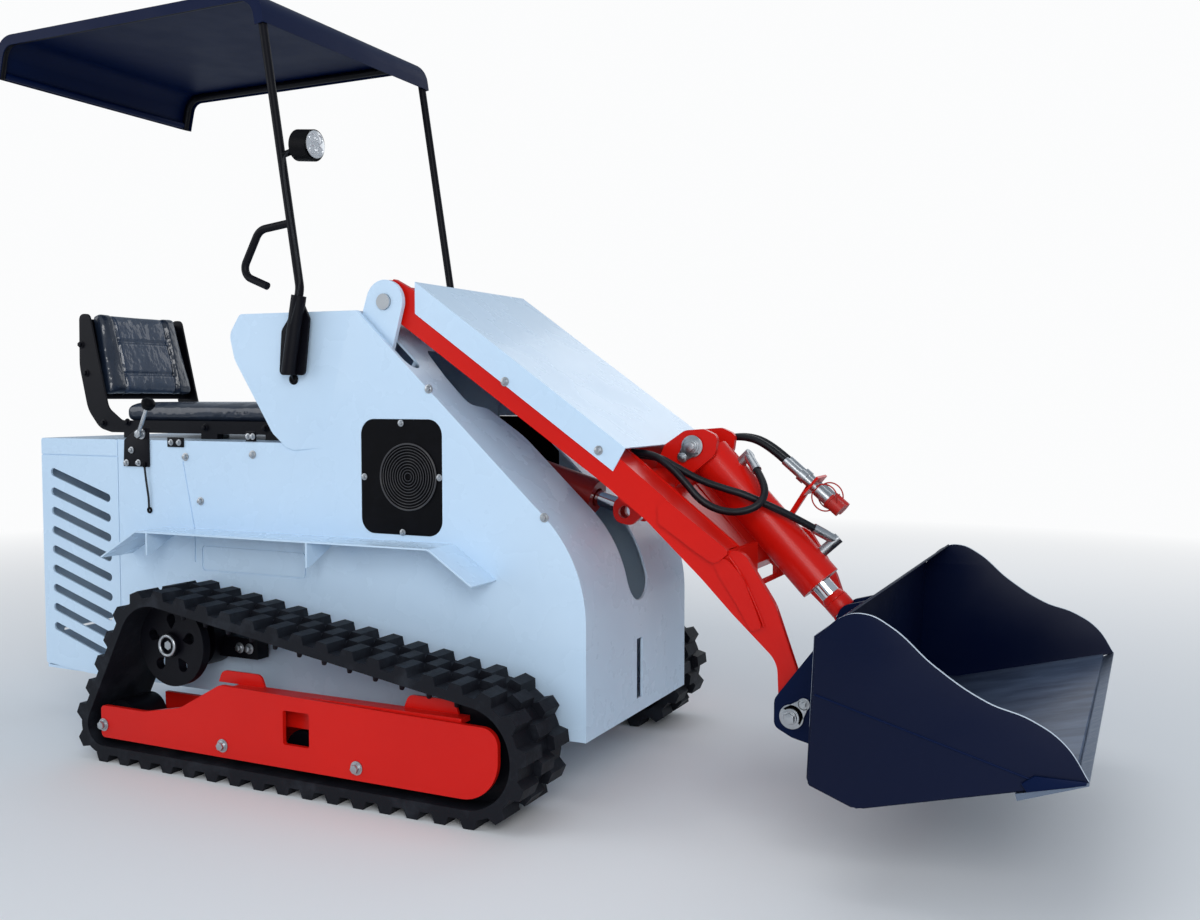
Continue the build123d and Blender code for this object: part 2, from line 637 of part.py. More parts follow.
def hose(name, points):
    path, radii = hose_route(points)
    tube = sweep(Plane(origin=path @ 0, z_dir=path % 0) * Circle(HOSE_RADIUS), path=path)
    section = pi * HOSE_RADIUS ** 2
    print(name, "length", round(path.length), "tightest bend", round(min(radii)),
          "volume ratio", round(tube.volume / (section * path.length), 3))
    return tube


def hoses():
    """The tilt cylinder's two hoses and the pair that feeds the couplers."""
    aux = [[(x, y, z) for x, z in AUX_HOSE] for y in COUPLER_Y]
    routes = [("base_hose", BASE_HOSE), ("rod_hose", ROD_HOSE)]
    routes += [("aux_hose_inner", aux[0]), ("aux_hose_outer", aux[1])]
    return {name: hose(name, points) for name, points in routes}


def stub(start, way, radius, length):
    standing = Cylinder(radius, length, align=(Align.CENTER, Align.CENTER, Align.MIN))
    return Plane(origin=start, z_dir=way) * standing


def port(points, reach):
    """Elbow that joins a hose's last point to the tilt barrel: a crimp and a boss."""
    end, before = Vector(points[-1]), Vector(points[-2])
    way = (end - before).normalized()
    corner = end + way * reach
    base, eye = Vector(TILT_BASE[0], 0, TILT_BASE[1]), Vector(TILT_EYE[0], 0, TILT_EYE[1])
    axis = (eye - base).normalized()
    foot = base + axis * (corner - base).dot(axis)
    crimp = stub(end, way, CRIMP_RADIUS, reach)
    boss = stub(foot, corner - foot, BOSS_RADIUS, (corner - foot).length + 10)
    return crimp + boss - rod(TILT_BASE, TILT_EYE, TILT_RADIUS)


def tilt_fittings():
    return Compound([port(BASE_HOSE, 58), port(ROD_HOSE, 62)])


# ---------------------------------------------------------------- bucket
def bucket_shell():
    """Bucket with a wrapped floor and back, and two curved side plates."""
    side = outline(
        [(1440, 294), (1040, 190), (950, 221), (963, 500), (1025, 549), (1085, 548), (1160, 480), (1260, 415),
         (1360, 384), (1415, 330)],
        [0, 10, 10, 5, 30, 30, 100, 100, 60, 20],
    )
    sides = slab(side, -BUCKET_HALF, -BUCKET_HALF + 8)
    wrap = outline(
        [(1415, 288), (1040, 190), (950, 221), (963, 500), (1025, 549), (1022, 553), (955, 502), (942, 217),
         (1040, 182), (1417, 281)],
        [0, 10, 10, 5, 0, 0, 10, 14, 14, 0],
    )
    back = slab(wrap, -BUCKET_HALF, BUCKET_HALF)
    return Part() + [back, sides, mirrored(sides)]


def cutting_edge():
    edge = outline([(1320, 255.5), (1417, 281), (1440, 293), (1440, 286), (1323, 243)], 0)
    return slab(edge, -BUCKET_HALF, BUCKET_HALF)


def bucket_ears():
    """Ears that the arms' pins and the tilt cylinder's rod hold."""
    ear = outline(
        [(835, 220), (795, 240), (795, 300), (900, 440), (950, 480), (940, 215), (900, 205)],
        [40, 20, 30, 40, 0, 0, 20],
    )
    ear -= Pos(*BUCKET_PIVOT) * Circle(20)
    half = ARM_THICK / 2
    out = slab(ear, -ARM_Y - half - 20, -ARM_Y - half - 6)
    inn = slab(ear, -ARM_Y + half + 6, -ARM_Y + half + 20)
    upper = outline([(946, 350), (900, 385), (862, 425), (880, 470), (951, 490)], [0, 20, 30, 30, 0])
    top = slab(upper - Pos(*TILT_EYE) * Circle(16), -50, -36)
    return Compound([out, inn, mirrored(out), mirrored(inn), top, mirrored(top)])


def bucket_pins():
    half = ARM_THICK / 2
    pin = disc(*BUCKET_PIVOT, 19.5, -ARM_Y - half - 30, -ARM_Y + half + 24)
    return both(pin)


# ---------------------------------------------------------------- export
def sided(name, shape):
    return {name + "_right": shape, name + "_left": mirrored(shape)}


def machine():
    """Every sub-part by its node name."""
    nodes = {}
    for name, shape in (
        ("track", track()), ("track_frame", track_frame()), ("rollers", rollers()), ("side_plate", side_plate()),
        ("louvre_panel", louvre_panel()), ("fender", fender()), ("canopy_hoop", canopy_tube()),
    ):
        nodes.update(sided(name, shape))
    nodes.update(
        sprockets=both(sprocket()), drive_motors=both(drive_motor()), fan_vents=both(fan_vent()),
        post_brackets=both(post_bracket()), main_frame=main_frame(), front_panel=front_panel(), hood=hood(),
        rear_door=rear_door(), engine=engine(), console=console(), seat_pan=seat_pan(),
        seat_cushion=seat_cushion(), seat_back=seat_back(), throttle=throttle(), canopy_roof=canopy_roof(),
        lamp=lamp(), grab_handle=grab_handle(), control_levers=levers(), boom_frame=boom_frame(),
        boom_pins=boom_pins(), boom_cover=boom_cover(), aux_couplers=aux_couplers(), dust_caps=dust_caps(),
        aux_bracket=aux_bracket(), lift_barrel=lift_barrel(), lift_rod=lift_rod(), tilt_barrel=tilt_barrel(),
        tilt_rod=tilt_rod(), tilt_fittings=tilt_fittings(), bucket_shell=bucket_shell(),
        cutting_edge=cutting_edge(), bucket_ears=bucket_ears(), bucket_pins=bucket_pins(),
    )
    nodes.update(hoses())
    return nodes


os.makedirs("parts", exist_ok=True)
for name, shape in machine().items():
    export_step(Pos(SHIFT, 0, 0) * shape, f"parts/{name}.step")
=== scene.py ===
# %% [markdown]
# # A compact track loader, dressed
# The metal structure of this machine is already built: plates, tubes, cylinders, bucket and tracks
# come in as a fixed frame.  This lesson gives it its finish: paint, rubber, hoses, seat,
# bolts, weld beads, lamp and fittings, each where the frame says.

# %% Load the frame
import bpy
import json
from math import cos, pi, radians, sin
from mathutils import Matrix, Vector


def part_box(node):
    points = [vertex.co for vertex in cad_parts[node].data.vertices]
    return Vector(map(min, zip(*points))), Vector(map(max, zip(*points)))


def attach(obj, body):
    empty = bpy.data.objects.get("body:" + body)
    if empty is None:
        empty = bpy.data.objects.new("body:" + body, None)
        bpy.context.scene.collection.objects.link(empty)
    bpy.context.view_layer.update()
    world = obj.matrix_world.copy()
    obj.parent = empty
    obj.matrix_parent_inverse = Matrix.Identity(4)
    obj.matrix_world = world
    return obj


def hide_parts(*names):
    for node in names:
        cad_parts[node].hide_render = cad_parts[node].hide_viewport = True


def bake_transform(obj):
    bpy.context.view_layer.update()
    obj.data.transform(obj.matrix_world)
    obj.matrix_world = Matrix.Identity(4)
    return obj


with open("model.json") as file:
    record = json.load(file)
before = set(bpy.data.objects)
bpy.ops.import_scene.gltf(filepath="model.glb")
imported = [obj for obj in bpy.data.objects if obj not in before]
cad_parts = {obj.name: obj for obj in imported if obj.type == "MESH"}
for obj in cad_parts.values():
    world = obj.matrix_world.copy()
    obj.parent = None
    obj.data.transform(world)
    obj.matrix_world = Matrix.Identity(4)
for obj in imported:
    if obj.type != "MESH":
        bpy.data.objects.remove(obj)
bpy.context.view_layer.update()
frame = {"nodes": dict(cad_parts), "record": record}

# %% [markdown]
# ## Places
# Everything is in metres, X forwards, Y to the machine's left and Z up.  Stations along X are
# written from the datum just behind the idlers, as on the drawing, and `at` shifts them into the frame.

# %% Shared places
SHIFT = 0.045


def at(x, y, z):
    """A drawing point in the frame's metres."""
    return Vector((x + SHIFT, y, z))


BODY_HALF = 0.310
LIFT_BASE = (-0.320, 0.860)
LIFT_EYE = (0.330, 0.665)
TILT_BASE = (0.517, 0.832)
TILT_EYE = (0.892, 0.434)
BUCKET_PIVOT = (0.835, 0.266)
COUPLER = (0.702, 0.796)
COUPLER_ROWS = (0.088, 0.126)
SPROCKET = (-0.763, 0.312)
IDLER = (0.170, 0.158)
print("body half width", BODY_HALF, "m, shift", SHIFT, "m")

# %% [markdown]
# ## Camera
# A normal lens at waist height, beside the front corner, looks slightly down.  A Track To constraint
# could aim it, but plain angles keep the view the same whatever moves.

# %% Camera
CAMERA_PLACE = at(1.536, -2.708, 0.95)
CAMERA_TURN = radians(25.6)
CAMERA_DIP = radians(3.0333)
LENS = 35.1

bpy.ops.object.select_all(action="DESELECT")
bpy.ops.object.camera_add(location=CAMERA_PLACE, rotation=(pi / 2 - CAMERA_DIP, 0, CAMERA_TURN))
camera = bpy.context.object
camera.name = "camera"
camera.data.lens = LENS
camera.data.sensor_width = 36
camera.data.clip_end = 100
bpy.context.scene.camera = camera
print("camera at", tuple(round(v, 3) for v in CAMERA_PLACE))

# %% [markdown]
# ## Node helpers
# Every finish is made of shader nodes on Object coordinates, which stay with a piece as it moves.  Wiring
# each by hand would repeat the same nodes, so these helpers keep the recipes short: `new_finish` makes a
# material, `noise` a pattern, `spread` turns it into a range, `blend_colours` mixes two colours by it, and
# `add_bump` presses it into the surface.

# %% Node helpers


def new_finish(name, colour, roughness, **sockets):
    """A material with a Principled shader; constants are set on the shader's own sockets."""
    material = bpy.data.materials.new(name)
    material.use_nodes = True
    shader = material.node_tree.nodes["Principled BSDF"]
    shader.inputs["Base Color"].default_value = (*colour, 1)
    shader.inputs["Roughness"].default_value = roughness
    for socket, value in sockets.items():
        shader.inputs[socket.replace("_", " ")].default_value = value
    material.diffuse_color = (*colour, 1)
    return material


def coordinates(tree):
    return tree.nodes.new("ShaderNodeTexCoord").outputs["Object"]


def noise(tree, scale, detail=3.0, roughness=0.5, stretch=None):
    """Noise on Object coordinates, stretched where the finish has a grain."""
    texture = tree.nodes.new("ShaderNodeTexNoise")
    texture.inputs["Scale"].default_value = scale
    texture.inputs["Detail"].default_value = detail
    texture.inputs["Roughness"].default_value = roughness
    source = coordinates(tree)
    if stretch:
        mapping = tree.nodes.new("ShaderNodeMapping")
        mapping.inputs["Scale"].default_value = stretch
        tree.links.new(source, mapping.inputs["Vector"])
        source = mapping.outputs["Vector"]
    tree.links.new(source, texture.inputs["Vector"])
    return texture.outputs["Fac"]


def spread(tree, fac, low, high, start=0.35, end=0.65):
    """Turns a pattern into a value from low to high."""
    span = tree.nodes.new("ShaderNodeMapRange")
    span.inputs["From Min"].default_value = start
    span.inputs["From Max"].default_value = end
    span.inputs["To Min"].default_value = low
    span.inputs["To Max"].default_value = high
    tree.links.new(fac, span.inputs["Value"])
    return span.outputs["Result"]


def blend_colours(tree, fac, first, second):
    """Mixes two colours by a pattern; either may be a socket."""
    mix = tree.nodes.new("ShaderNodeMix")
    mix.data_type = "RGBA"
    tree.links.new(fac, mix.inputs["Factor"])
    for socket, value in ((mix.inputs[6], first), (mix.inputs[7], second)):
        if isinstance(value, tuple):
            socket.default_value = (*value, 1)
        else:
            tree.links.new(value, socket)
    return mix.outputs[2]


def set_shader(material, socket, source):
    shader = material.node_tree.nodes["Principled BSDF"]
    material.node_tree.links.new(source, shader.inputs[socket])


def add_bump(material, height, strength, distance):
    """Bump from a pattern; distance is in metres."""
    tree = material.node_tree
    bump = tree.nodes.new("ShaderNodeBump")
    bump.inputs["Strength"].default_value = strength
    bump.inputs["Distance"].default_value = distance
    tree.links.new(height, bump.inputs["Height"])
    set_shader(material, "Normal", bump.outputs["Normal"])

# %% [markdown]
# ## Paint
# The body is steel sheet, sprayed gloss white.  One flat colour would look like plastic, and a picture would
# stretch over the folds, so the paint is noise on the piece's own coordinates: slow shading in the colour,
# a little unevenness in the gloss and a fine orange peel.


# %% Paint
def gloss_paint(name, colour, shade, roughness, gloss=0.2, shine=0.3, peel=0.0003):
    """Sprayed paint: base colour with slow shading, clear gloss and orange peel."""
    material = new_finish(
        name, colour, roughness, Coat_Weight=gloss, Coat_Roughness=0.08, Specular_IOR_Level=shine)
    tree = material.node_tree
    slow = spread(tree, noise(tree, 2.2, 4), 0, 1, 0.3, 0.7)
    set_shader(material, "Base Color", blend_colours(tree, slow, colour, shade))
    set_shader(material, "Roughness", spread(tree, noise(tree, 9, 5), roughness - 0.02, roughness + 0.04))
    add_bump(material, noise(tree, 260, 2), 0.25, peel)
    return material


# The white paint's base colour is pale blue: painted blue sky light on paint that is white.
WHITE = gloss_paint("white_paint_painted_sky_light", (0.61, 0.775, 0.94), (0.58, 0.75, 0.925), 0.26, 0.2, 0.35)
RED = gloss_paint("red_gloss_paint", (0.68, 0.010, 0.005), (0.60, 0.007, 0.004), 0.30, 0.05, 0.2)
MAROON = gloss_paint("maroon_paint", (0.30, 0.016, 0.012), (0.22, 0.012, 0.010), 0.30, 0.1, 0.3)
BLACK = gloss_paint("black_satin_paint", (0.002, 0.002, 0.004), (0.004, 0.004, 0.007), 0.42, 0.0, 0.14)
NAVY = gloss_paint("dark_navy_paint", (0.0004, 0.0056, 0.034), (0.0007, 0.0066, 0.038), 0.42, 0.0, 0.09)

# %% [markdown]
# ## Rubber and plastic
# Track rubber is matt, and slightly grey where it has been run.  Its grain is far finer than a triangle, so
# bump makes it rather than geometry, and patches of dust lift the black.  Hoses, plastic and vinyl are the
# same recipe with a finer grain.


# %% Rubber and plastic
def moulded(name, colour, dusty, roughness, grain, depth, shine=0.3):
    """Moulded rubber or plastic with a fine grain and light dust."""
    material = new_finish(name, colour, roughness, Specular_IOR_Level=shine)
    tree = material.node_tree
    dust = spread(tree, noise(tree, 14, 6, 0.65), 0, 1, 0.48, 0.75)
    set_shader(material, "Base Color", blend_colours(tree, dust, colour, dusty))
    add_bump(material, noise(tree, grain, 4), 0.5, depth)
    return material


RUBBER = moulded("track_rubber", (0.005, 0.006, 0.010), (0.020, 0.024, 0.032), 0.60, 160, 0.0012, 0.2)
HOSE_RUBBER = moulded("hose_rubber", (0.002, 0.003, 0.006), (0.009, 0.011, 0.017), 0.42, 420, 0.0008)
PLASTIC = moulded("black_plastic", (0.001, 0.001, 0.002), (0.003, 0.003, 0.005), 0.45, 500, 0.0004, 0.1)
VINYL = moulded("seat_vinyl", (0.035, 0.037, 0.042), (0.060, 0.063, 0.070), 0.30, 700, 0.0004)
RED_RUBBER = moulded("red_rubber", (0.50, 0.018, 0.014), (0.40, 0.03, 0.025), 0.42, 400, 0.0004)
IRON = moulded("cast_iron", (0.05, 0.05, 0.055), (0.10, 0.095, 0.09), 0.6, 220, 0.002)

# %% [markdown]
# ## Bare metal and glass
# Rods are hard chrome, pins and bolts are zinc plated.  Metal shows mostly what it reflects, so its colour
# stays plain and smudges in the roughness do the work.  The lamp's glass is a bright bowl under a clear coat,
# which needs no real depth of glass.


# %% Bare metal
def bare_metal(name, colour, roughness, spread_by, grain=None, depth=0.0002):
    """Plain metal whose gloss is smudged; grain stretches the smudges."""
    material = new_finish(name, colour, roughness, Metallic=1.0)
    tree = material.node_tree
    stains = noise(tree, 35, 5, 0.6, grain)
    set_shader(material, "Roughness", spread(tree, stains, roughness - spread_by, roughness + spread_by))
    add_bump(material, noise(tree, 350, 2, 0.5, grain), 0.2, depth)
    return material


CHROME = bare_metal("hard_chrome", (0.80, 0.81, 0.83), 0.12, 0.05)
ZINC = bare_metal("zinc_plate", (0.46, 0.48, 0.50), 0.36, 0.10)

# %% Lens glass
LENS_GLASS = new_finish(
    "lamp_lens", (0.62, 0.64, 0.66), 0.08, Metallic=0.4, Coat_Weight=1.0, Coat_Roughness=0.02)
add_bump(LENS_GLASS, noise(LENS_GLASS.node_tree, 240, 1), 0.3, 0.0006)

# %% [markdown]
# ## Finishes of the frame
# The frame's record says which finish each of its pieces has.  They could be set one by one, but a table
# from finish to material does them all, and new pieces use the same materials.

# %% Finishes of the frame's own pieces
FINISH = {
    "white_paint": WHITE, "red_paint": RED, "maroon_paint": MAROON, "black_paint": BLACK, "navy_paint": NAVY,
    "rubber": RUBBER, "chrome": CHROME, "zinc_steel": ZINC, "cast_iron": IRON, "seat_vinyl": VINYL,
    "black_plastic": PLASTIC, "red_rubber": RED_RUBBER,
}
for row in frame["record"]["subparts"]:
    piece = frame["nodes"][row["node"]]
    for place in piece.material_slots:
        place.material = FINISH[row["material_slot"]]
    if not piece.material_slots:
        piece.data.materials.append(FINISH[row["material_slot"]])
print("finished", len(frame["nodes"]), "frame pieces")

# %% [markdown]
# ## Building helpers
# Small pieces are primitives put where the frame says, with their place in the mesh and their origin at
# the frame's.  An operator acts on all that is selected, so everything is deselected before each one.

# %% Selection


def deselect():
    bpy.ops.object.select_all(action="DESELECT")


def only(piece):
    """Makes one piece the active and only selected one."""
    deselect()
    piece.select_set(True)
    bpy.context.view_layer.objects.active = piece
    return piece


def linked(name, data):
    """A new piece in the scene with a mesh or curve as its data."""
    piece = bpy.data.objects.new(name, data)
    bpy.context.scene.collection.objects.link(piece)
    return piece


def applied(piece, kind, **settings):
    """Gives a piece a modifier and applies it."""
    only(piece)
    modifier = piece.modifiers.new(kind.lower(), kind)
    for setting, value in settings.items():
        setattr(modifier, setting, value)
    bpy.ops.object.modifier_apply(modifier=modifier.name)


def place_in_mesh(piece):
    """The piece's place, turn and size go into its mesh."""
    only(piece)
    bpy.ops.object.transform_apply(location=True, rotation=True, scale=True)
    return piece


# %% [markdown]
# ## Bars, blocks and rings
# Most fittings are turned, sawn or bent from wire.  `cylinder`, `block` and `ring` make those three forms
# from two points or a direction, which is easier to read than a place and three angles.

# %% Bars, blocks and rings


def towards(way):
    """The turn that stands a primitive's Z along way."""
    return Vector(way).to_track_quat("Z", "Y").to_euler()


def cylinder(start, way, radius, length, sides=32, tip=None):
    """Round or tapered bar that starts at a point and runs along way."""
    way = Vector(way).normalized()
    middle = Vector(start) + way * (length / 2)
    deselect()
    if tip is None:
        bpy.ops.mesh.primitive_cylinder_add(
            vertices=sides, radius=radius, depth=length, location=middle, rotation=towards(way))
    else:
        bpy.ops.mesh.primitive_cone_add(
            vertices=sides, radius1=radius, radius2=tip, depth=length, location=middle, rotation=towards(way))
    return place_in_mesh(bpy.context.object)


def block(low, high):
    """Straight block between two corners."""
    low, high = Vector(low), Vector(high)
    deselect()
    bpy.ops.mesh.primitive_cube_add(size=1, location=(low + high) / 2)
    bpy.context.object.scale = high - low
    return place_in_mesh(bpy.context.object)


def ring(middle, way, radius, thick, around=48, across=10):
    """Torus whose axis is way."""
    deselect()
    bpy.ops.mesh.primitive_torus_add(
        major_segments=around, minor_segments=across, major_radius=radius, minor_radius=thick,
        location=Vector(middle), rotation=towards(way))
    return place_in_mesh(bpy.context.object)


# %% [markdown]
# ## Plates and edges
# A cut plate is its outline, pushed out to its thickness in edit mode.  `soften` then rounds the edges with
# a bevel, because sheared steel never has a perfectly sharp edge and the round catches the light.

# %% Plates and edges


def face_out():
    """Turns all faces of the active piece outwards."""
    bpy.ops.object.mode_set(mode="EDIT")
    bpy.ops.mesh.select_all(action="SELECT")
    bpy.ops.mesh.normals_make_consistent(inside=False)
    bpy.ops.object.mode_set(mode="OBJECT")


def plate(corners, y_from, y_to):
    """Flat plate from its X, Z corners: an n-sided face that is extruded in edit mode."""
    mesh = bpy.data.meshes.new("plate")
    mesh.from_pydata([(x + SHIFT, y_from, z) for x, z in corners], [], [list(range(len(corners)))])
    piece = only(linked("plate", mesh))
    bpy.ops.object.mode_set(mode="EDIT")
    bpy.ops.mesh.select_all(action="SELECT")
    bpy.ops.mesh.extrude_region_move(TRANSFORM_OT_translate={"value": (0, y_to - y_from, 0)})
    bpy.ops.object.mode_set(mode="OBJECT")
    face_out()
    return piece


def soften(piece, width, segments=2, angle=35):
    """Rounds the edges that are sharper than an angle."""
    applied(piece, "BEVEL", width=width, segments=segments, limit_method="ANGLE", angle_limit=radians(angle))
    bpy.ops.object.shade_smooth_by_angle(angle=radians(40))
    return piece


def joined(pieces):
    """One piece of several."""
    deselect()
    for piece in pieces:
        piece.select_set(True)
    bpy.context.view_layer.objects.active = pieces[0]
    bpy.ops.object.join()
    return pieces[0]


def settle(piece, name, finish, body):
    """Names a piece, gives it its finish and lets it ride on its body."""
    piece.name = name
    piece.data.materials.clear()
    piece.data.materials.append(finish)
    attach(piece, body)
    return piece


# %% [markdown]
# ## Tubes and wires
# Hoses, wires and beads are round lines.  Straight runs with rounded corners look like bent rod, so each is
# a NURBS line through a few control points, with a round bevel.

# %% Tubes and wires


def tube(name, points, radius, along=10, around=4, caps=True):
    """Round line: a NURBS curve with those control points."""
    curve = bpy.data.curves.new(name, "CURVE")
    curve.dimensions = "3D"
    line = curve.splines.new("NURBS")
    line.points.add(len(points) - 1)
    for point, place in zip(line.points, points):
        point.co = (*place, 1)
    line.order_u = 3
    line.use_endpoint_u = True
    line.resolution_u = along
    curve.bevel_depth = radius
    curve.bevel_resolution = around
    curve.use_fill_caps = caps
    return linked(name, curve)


def as_mesh(piece):
    """A curve made into a smooth mesh."""
    only(piece)
    bpy.ops.object.convert(target="MESH")
    piece = bpy.context.object
    bpy.ops.object.shade_smooth()
    return piece


# %% [markdown]
# ## Bolts
# Zinc-plated flanged bolts hold the panels.  A bolt is a washer, a coned flange and a six-sided head.  Each
# is built at its own size and turned a little, because bolts never line up, and a body's bolts are joined
# into one piece, which is easier to handle than hundreds.

# %% Bolt helpers
SCREW = 0.011
PANEL_BOLT = 0.0145
ROLLER_BOLT = 0.0215
OUT = (0, -1, 0)
LEFT = (0, 1, 0)


def bolt_shape(size):
    """Flanged hexagon bolt standing on the origin along Z; size is across its corners."""
    washer = cylinder((0, 0, 0), (0, 0, 1), size * 0.78, size * 0.12, 28)
    flange = cylinder((0, 0, size * 0.12), (0, 0, 1), size * 0.62, size * 0.1, 28, size * 0.56)
    head = cylinder((0, 0, size * 0.2), (0, 0, 1), size * 0.5, size * 0.42, 6)
    return soften(joined([washer, flange, head]), size * 0.035, 2)


def bolts(name, table, body, finish):
    """Bolts from a table of place, direction and size, joined into one piece."""
    made = []
    for number, (place, way, size) in enumerate(table):
        piece = bolt_shape(size)
        turn = Matrix.Rotation(radians(17 * number % 60), 4, "Z")
        stand = Vector(way).to_track_quat("Z", "Y").to_matrix().to_4x4()
        piece.data.transform(Matrix.Translation(Vector(place)) @ stand @ turn)
        made.append(piece)
    print(name, len(made), "bolts")
    return settle(joined(made), name, finish, body)


def sided_bolts(stations, y, size, lift=0.0):
    """The same bolts on the right-hand and the left-hand side."""
    rows = [(at(x, -y - lift, z), OUT, size) for x, z in stations]
    return rows + [(at(x, y + lift, z), LEFT, size) for x, z in stations]

# %% [markdown]
# ## Hoses
# Four hydraulic hoses of 18 mm leave a plate under the boom cover.  Two feed the couplers and ride on the
# boom.
# Two feed the tilt cylinder; those bend a little as the cylinder swings, but here they are fixed meshes that
# ride on no body.

# %% Hoses
HOSE_RADIUS = 0.009
BASE_HOSE = [
    (0.395, -0.150, 0.820), (0.443, -0.150, 0.820), (0.492, -0.152, 0.792), (0.533, -0.150, 0.752),
    (0.566, -0.146, 0.712), (0.610, -0.138, 0.688), (0.661, -0.130, 0.684), (0.705, -0.112, 0.702),
    (0.709, -0.078, 0.742), (0.672, -0.041, 0.778),
]
ROD_HOSE = [
    (0.395, -0.118, 0.812), (0.446, -0.118, 0.812), (0.498, -0.114, 0.784), (0.550, -0.106, 0.756),
    (0.604, -0.097, 0.738), (0.656, -0.087, 0.724), (0.704, -0.066, 0.700), (0.754, -0.038, 0.674),
    (0.802, -0.008, 0.643),
]
AUX_HOSE = [(0.395, 0.812), (0.455, 0.812), (0.520, 0.844), (0.590, 0.856), (0.652, 0.838), (0.702, 0.796)]


def hose_line(name, route, radius):
    """A hose's curve: a NURBS line whose control points are the route's."""
    hose = tube(name, [at(*place) for place in route], radius, 16, 6, False)
    hose.data.materials.append(HOSE_RUBBER)
    return hose


def centre_line(route):
    """Points read from the route's own NURBS line, in order, and their length."""
    bare = hose_line("bare_line", route, 0)
    mesh = bpy.data.meshes.new_from_object(bare)
    points = [v.co.copy() for v in mesh.vertices]
    bpy.data.objects.remove(bare)
    return points, sum((b - a).length for a, b in zip(points, points[1:]))


def declare_hose(hose, route, node, length, **more):
    """Hides the frame piece that a hose stands for and prints the hose's length."""
    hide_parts(node)
    print(hose.name, round(length, 3), "m")


def fitted_hose(name, route, node):
    """A hose whose two ends both ride on the boom."""
    length = centre_line(route)[1]
    hose = hose_line(name, route, HOSE_RADIUS)
    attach(hose, "boom")
    declare_hose(hose, route, node, length)


def swinging_hose(name, route, node):
    """A hose between the boom and the tilt cylinder's barrel, left a fixed mesh on no body."""
    points, length = centre_line(route)
    hose = as_mesh(hose_line(name, route, HOSE_RADIUS))
    hose.name = name
    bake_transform(hose)
    declare_hose(hose, route, node, length, path=points)


swinging_hose("tilt_base_hose", BASE_HOSE, "base_hose")
swinging_hose("tilt_rod_hose", ROD_HOSE, "rod_hose")
for side, y in zip(("inner", "outer"), COUPLER_ROWS):
    fitted_hose("coupler_hose_" + side, [(x, y, z) for x, z in AUX_HOSE], "aux_hose_" + side)

# %% [markdown]
# ## Bolts of the body
# Small screws hold the fan plates and the lever bracket, larger bolts the panels and posts, and the largest
# the track rollers.  Each list but the lever screws holds stations that are used on both sides.

# %% Bolts of the body
panel = [(-0.076, 0.972), (0.243, 0.671), (-0.872, 0.789), (-0.820, 0.669), (-0.634, 0.800)]
vent_screws = [(-0.159, 0.888), (-0.156, 0.616), (-0.271, 0.752), (-0.047, 0.756)]
roller_bolts = [(-0.945, 0.095), (-0.537, 0.092), (-0.129, 0.092)]
lever_screws = [(-1.069, 0.804), (-1.089, 0.768), (-1.043, 0.769)]
post_bolts = [(-0.450, 1.160), (-0.478, 1.050)]
table = sided_bolts(panel, BODY_HALF, PANEL_BOLT)
table += sided_bolts(vent_screws, BODY_HALF, SCREW, 0.0002)
table += sided_bolts(roller_bolts, 0.540, ROLLER_BOLT)
table += sided_bolts(post_bolts, 0.343, 0.020)
table += [(at(x, -BODY_HALF - 0.006, z), OUT, 0.012) for x, z in lever_screws]
bolts("chassis_bolts", table, "chassis", ZINC)
bolts("cover_bolts", sided_bolts([(0.117, 0.989), (0.366, 0.829)], 0.2735, PANEL_BOLT), "boom", ZINC)

# %% [markdown]
# ## Finger guard
# Close rings of thin round wire cover the fan, inside a thicker rim.  Drawn on a disc they would vanish from
# the side, so each is a torus, with few faces because there are many.

# %% Finger guard
GUARD = (-0.138, 0.755)
GUARD_RINGS = 10
GUARD_PITCH = 0.0072
for side, y in (("right", -BODY_HALF - 0.0022), ("left", BODY_HALF + 0.0022)):
    hub = at(GUARD[0], y, GUARD[1])
    wires = [ring(hub, LEFT, 0.010 + GUARD_PITCH * i, 0.0011, 56, 6) for i in range(GUARD_RINGS)]
    wires.append(ring(hub, LEFT, 0.082, 0.0024, 64, 8))
    guard = joined(wires)
    bpy.ops.object.shade_smooth()
    settle(guard, "finger_guard_" + side, IRON, "chassis")
print("finger guards:", GUARD_RINGS, "rings a side")

# %% [markdown]
# ## Pins and their retainers
# A drop-shaped zinc plate with one bolt in its tail stops each pin from turning.  Its outline could be a
# filled curve, but two discs and a tapered plate between them give clean round ends with fewer points.

# %% Retainers
RETAINER_THICK = 0.004


def retainer(name, pin, tail, y, body, radius):
    """Drop-shaped plate: a disc at the pin, a narrow tail and the bolt that stops it turning."""
    centre, end = at(pin[0], y, pin[1]), at(tail[0], y, tail[1])
    way = OUT if y < 0 else LEFT
    head = cylinder(centre, way, radius, RETAINER_THICK, 40)
    foot = cylinder(end, way, radius * 0.5, RETAINER_THICK, 28)
    along = (end - centre).normalized()
    across = Vector(way).cross(along) * radius
    corners = [centre + across * 0.96, end + across * 0.46, end - across * 0.46, centre - across * 0.96]
    tail_plate = plate([(c.x - SHIFT, c.z) for c in corners], y, y + RETAINER_THICK * way[1])
    settle(soften(joined([head, foot, tail_plate]), 0.001, 2), name, ZINC, body)
    bolts(name + "_bolt", [(end + Vector(way) * RETAINER_THICK, way, radius * 0.5)], body, ZINC)


for side, sign in (("right", -1), ("left", 1)):
    y = sign * 0.0755
    retainer("tilt_retainer_" + side, (0.521, 0.834), (0.497, 0.808), y, "boom", 0.027)
    pin_face = at(0.521, y + sign * RETAINER_THICK, 0.834)
    bolts("tilt_pin_bolt_" + side, [(pin_face, (0, sign, 0), 0.023)], "boom", ZINC)

# %% [markdown]
# ## Caps, straps and lamp
# Narrow rubber rings and a wide loop tie each dust cap to its coupler.  Toruses turned along the coupler's
# axis make them, since a strap this thin is round anyway.  The lamp's glass is a shallow disc placed by the
# lamp's own box, with a bright ring for each of its four diodes' cups.

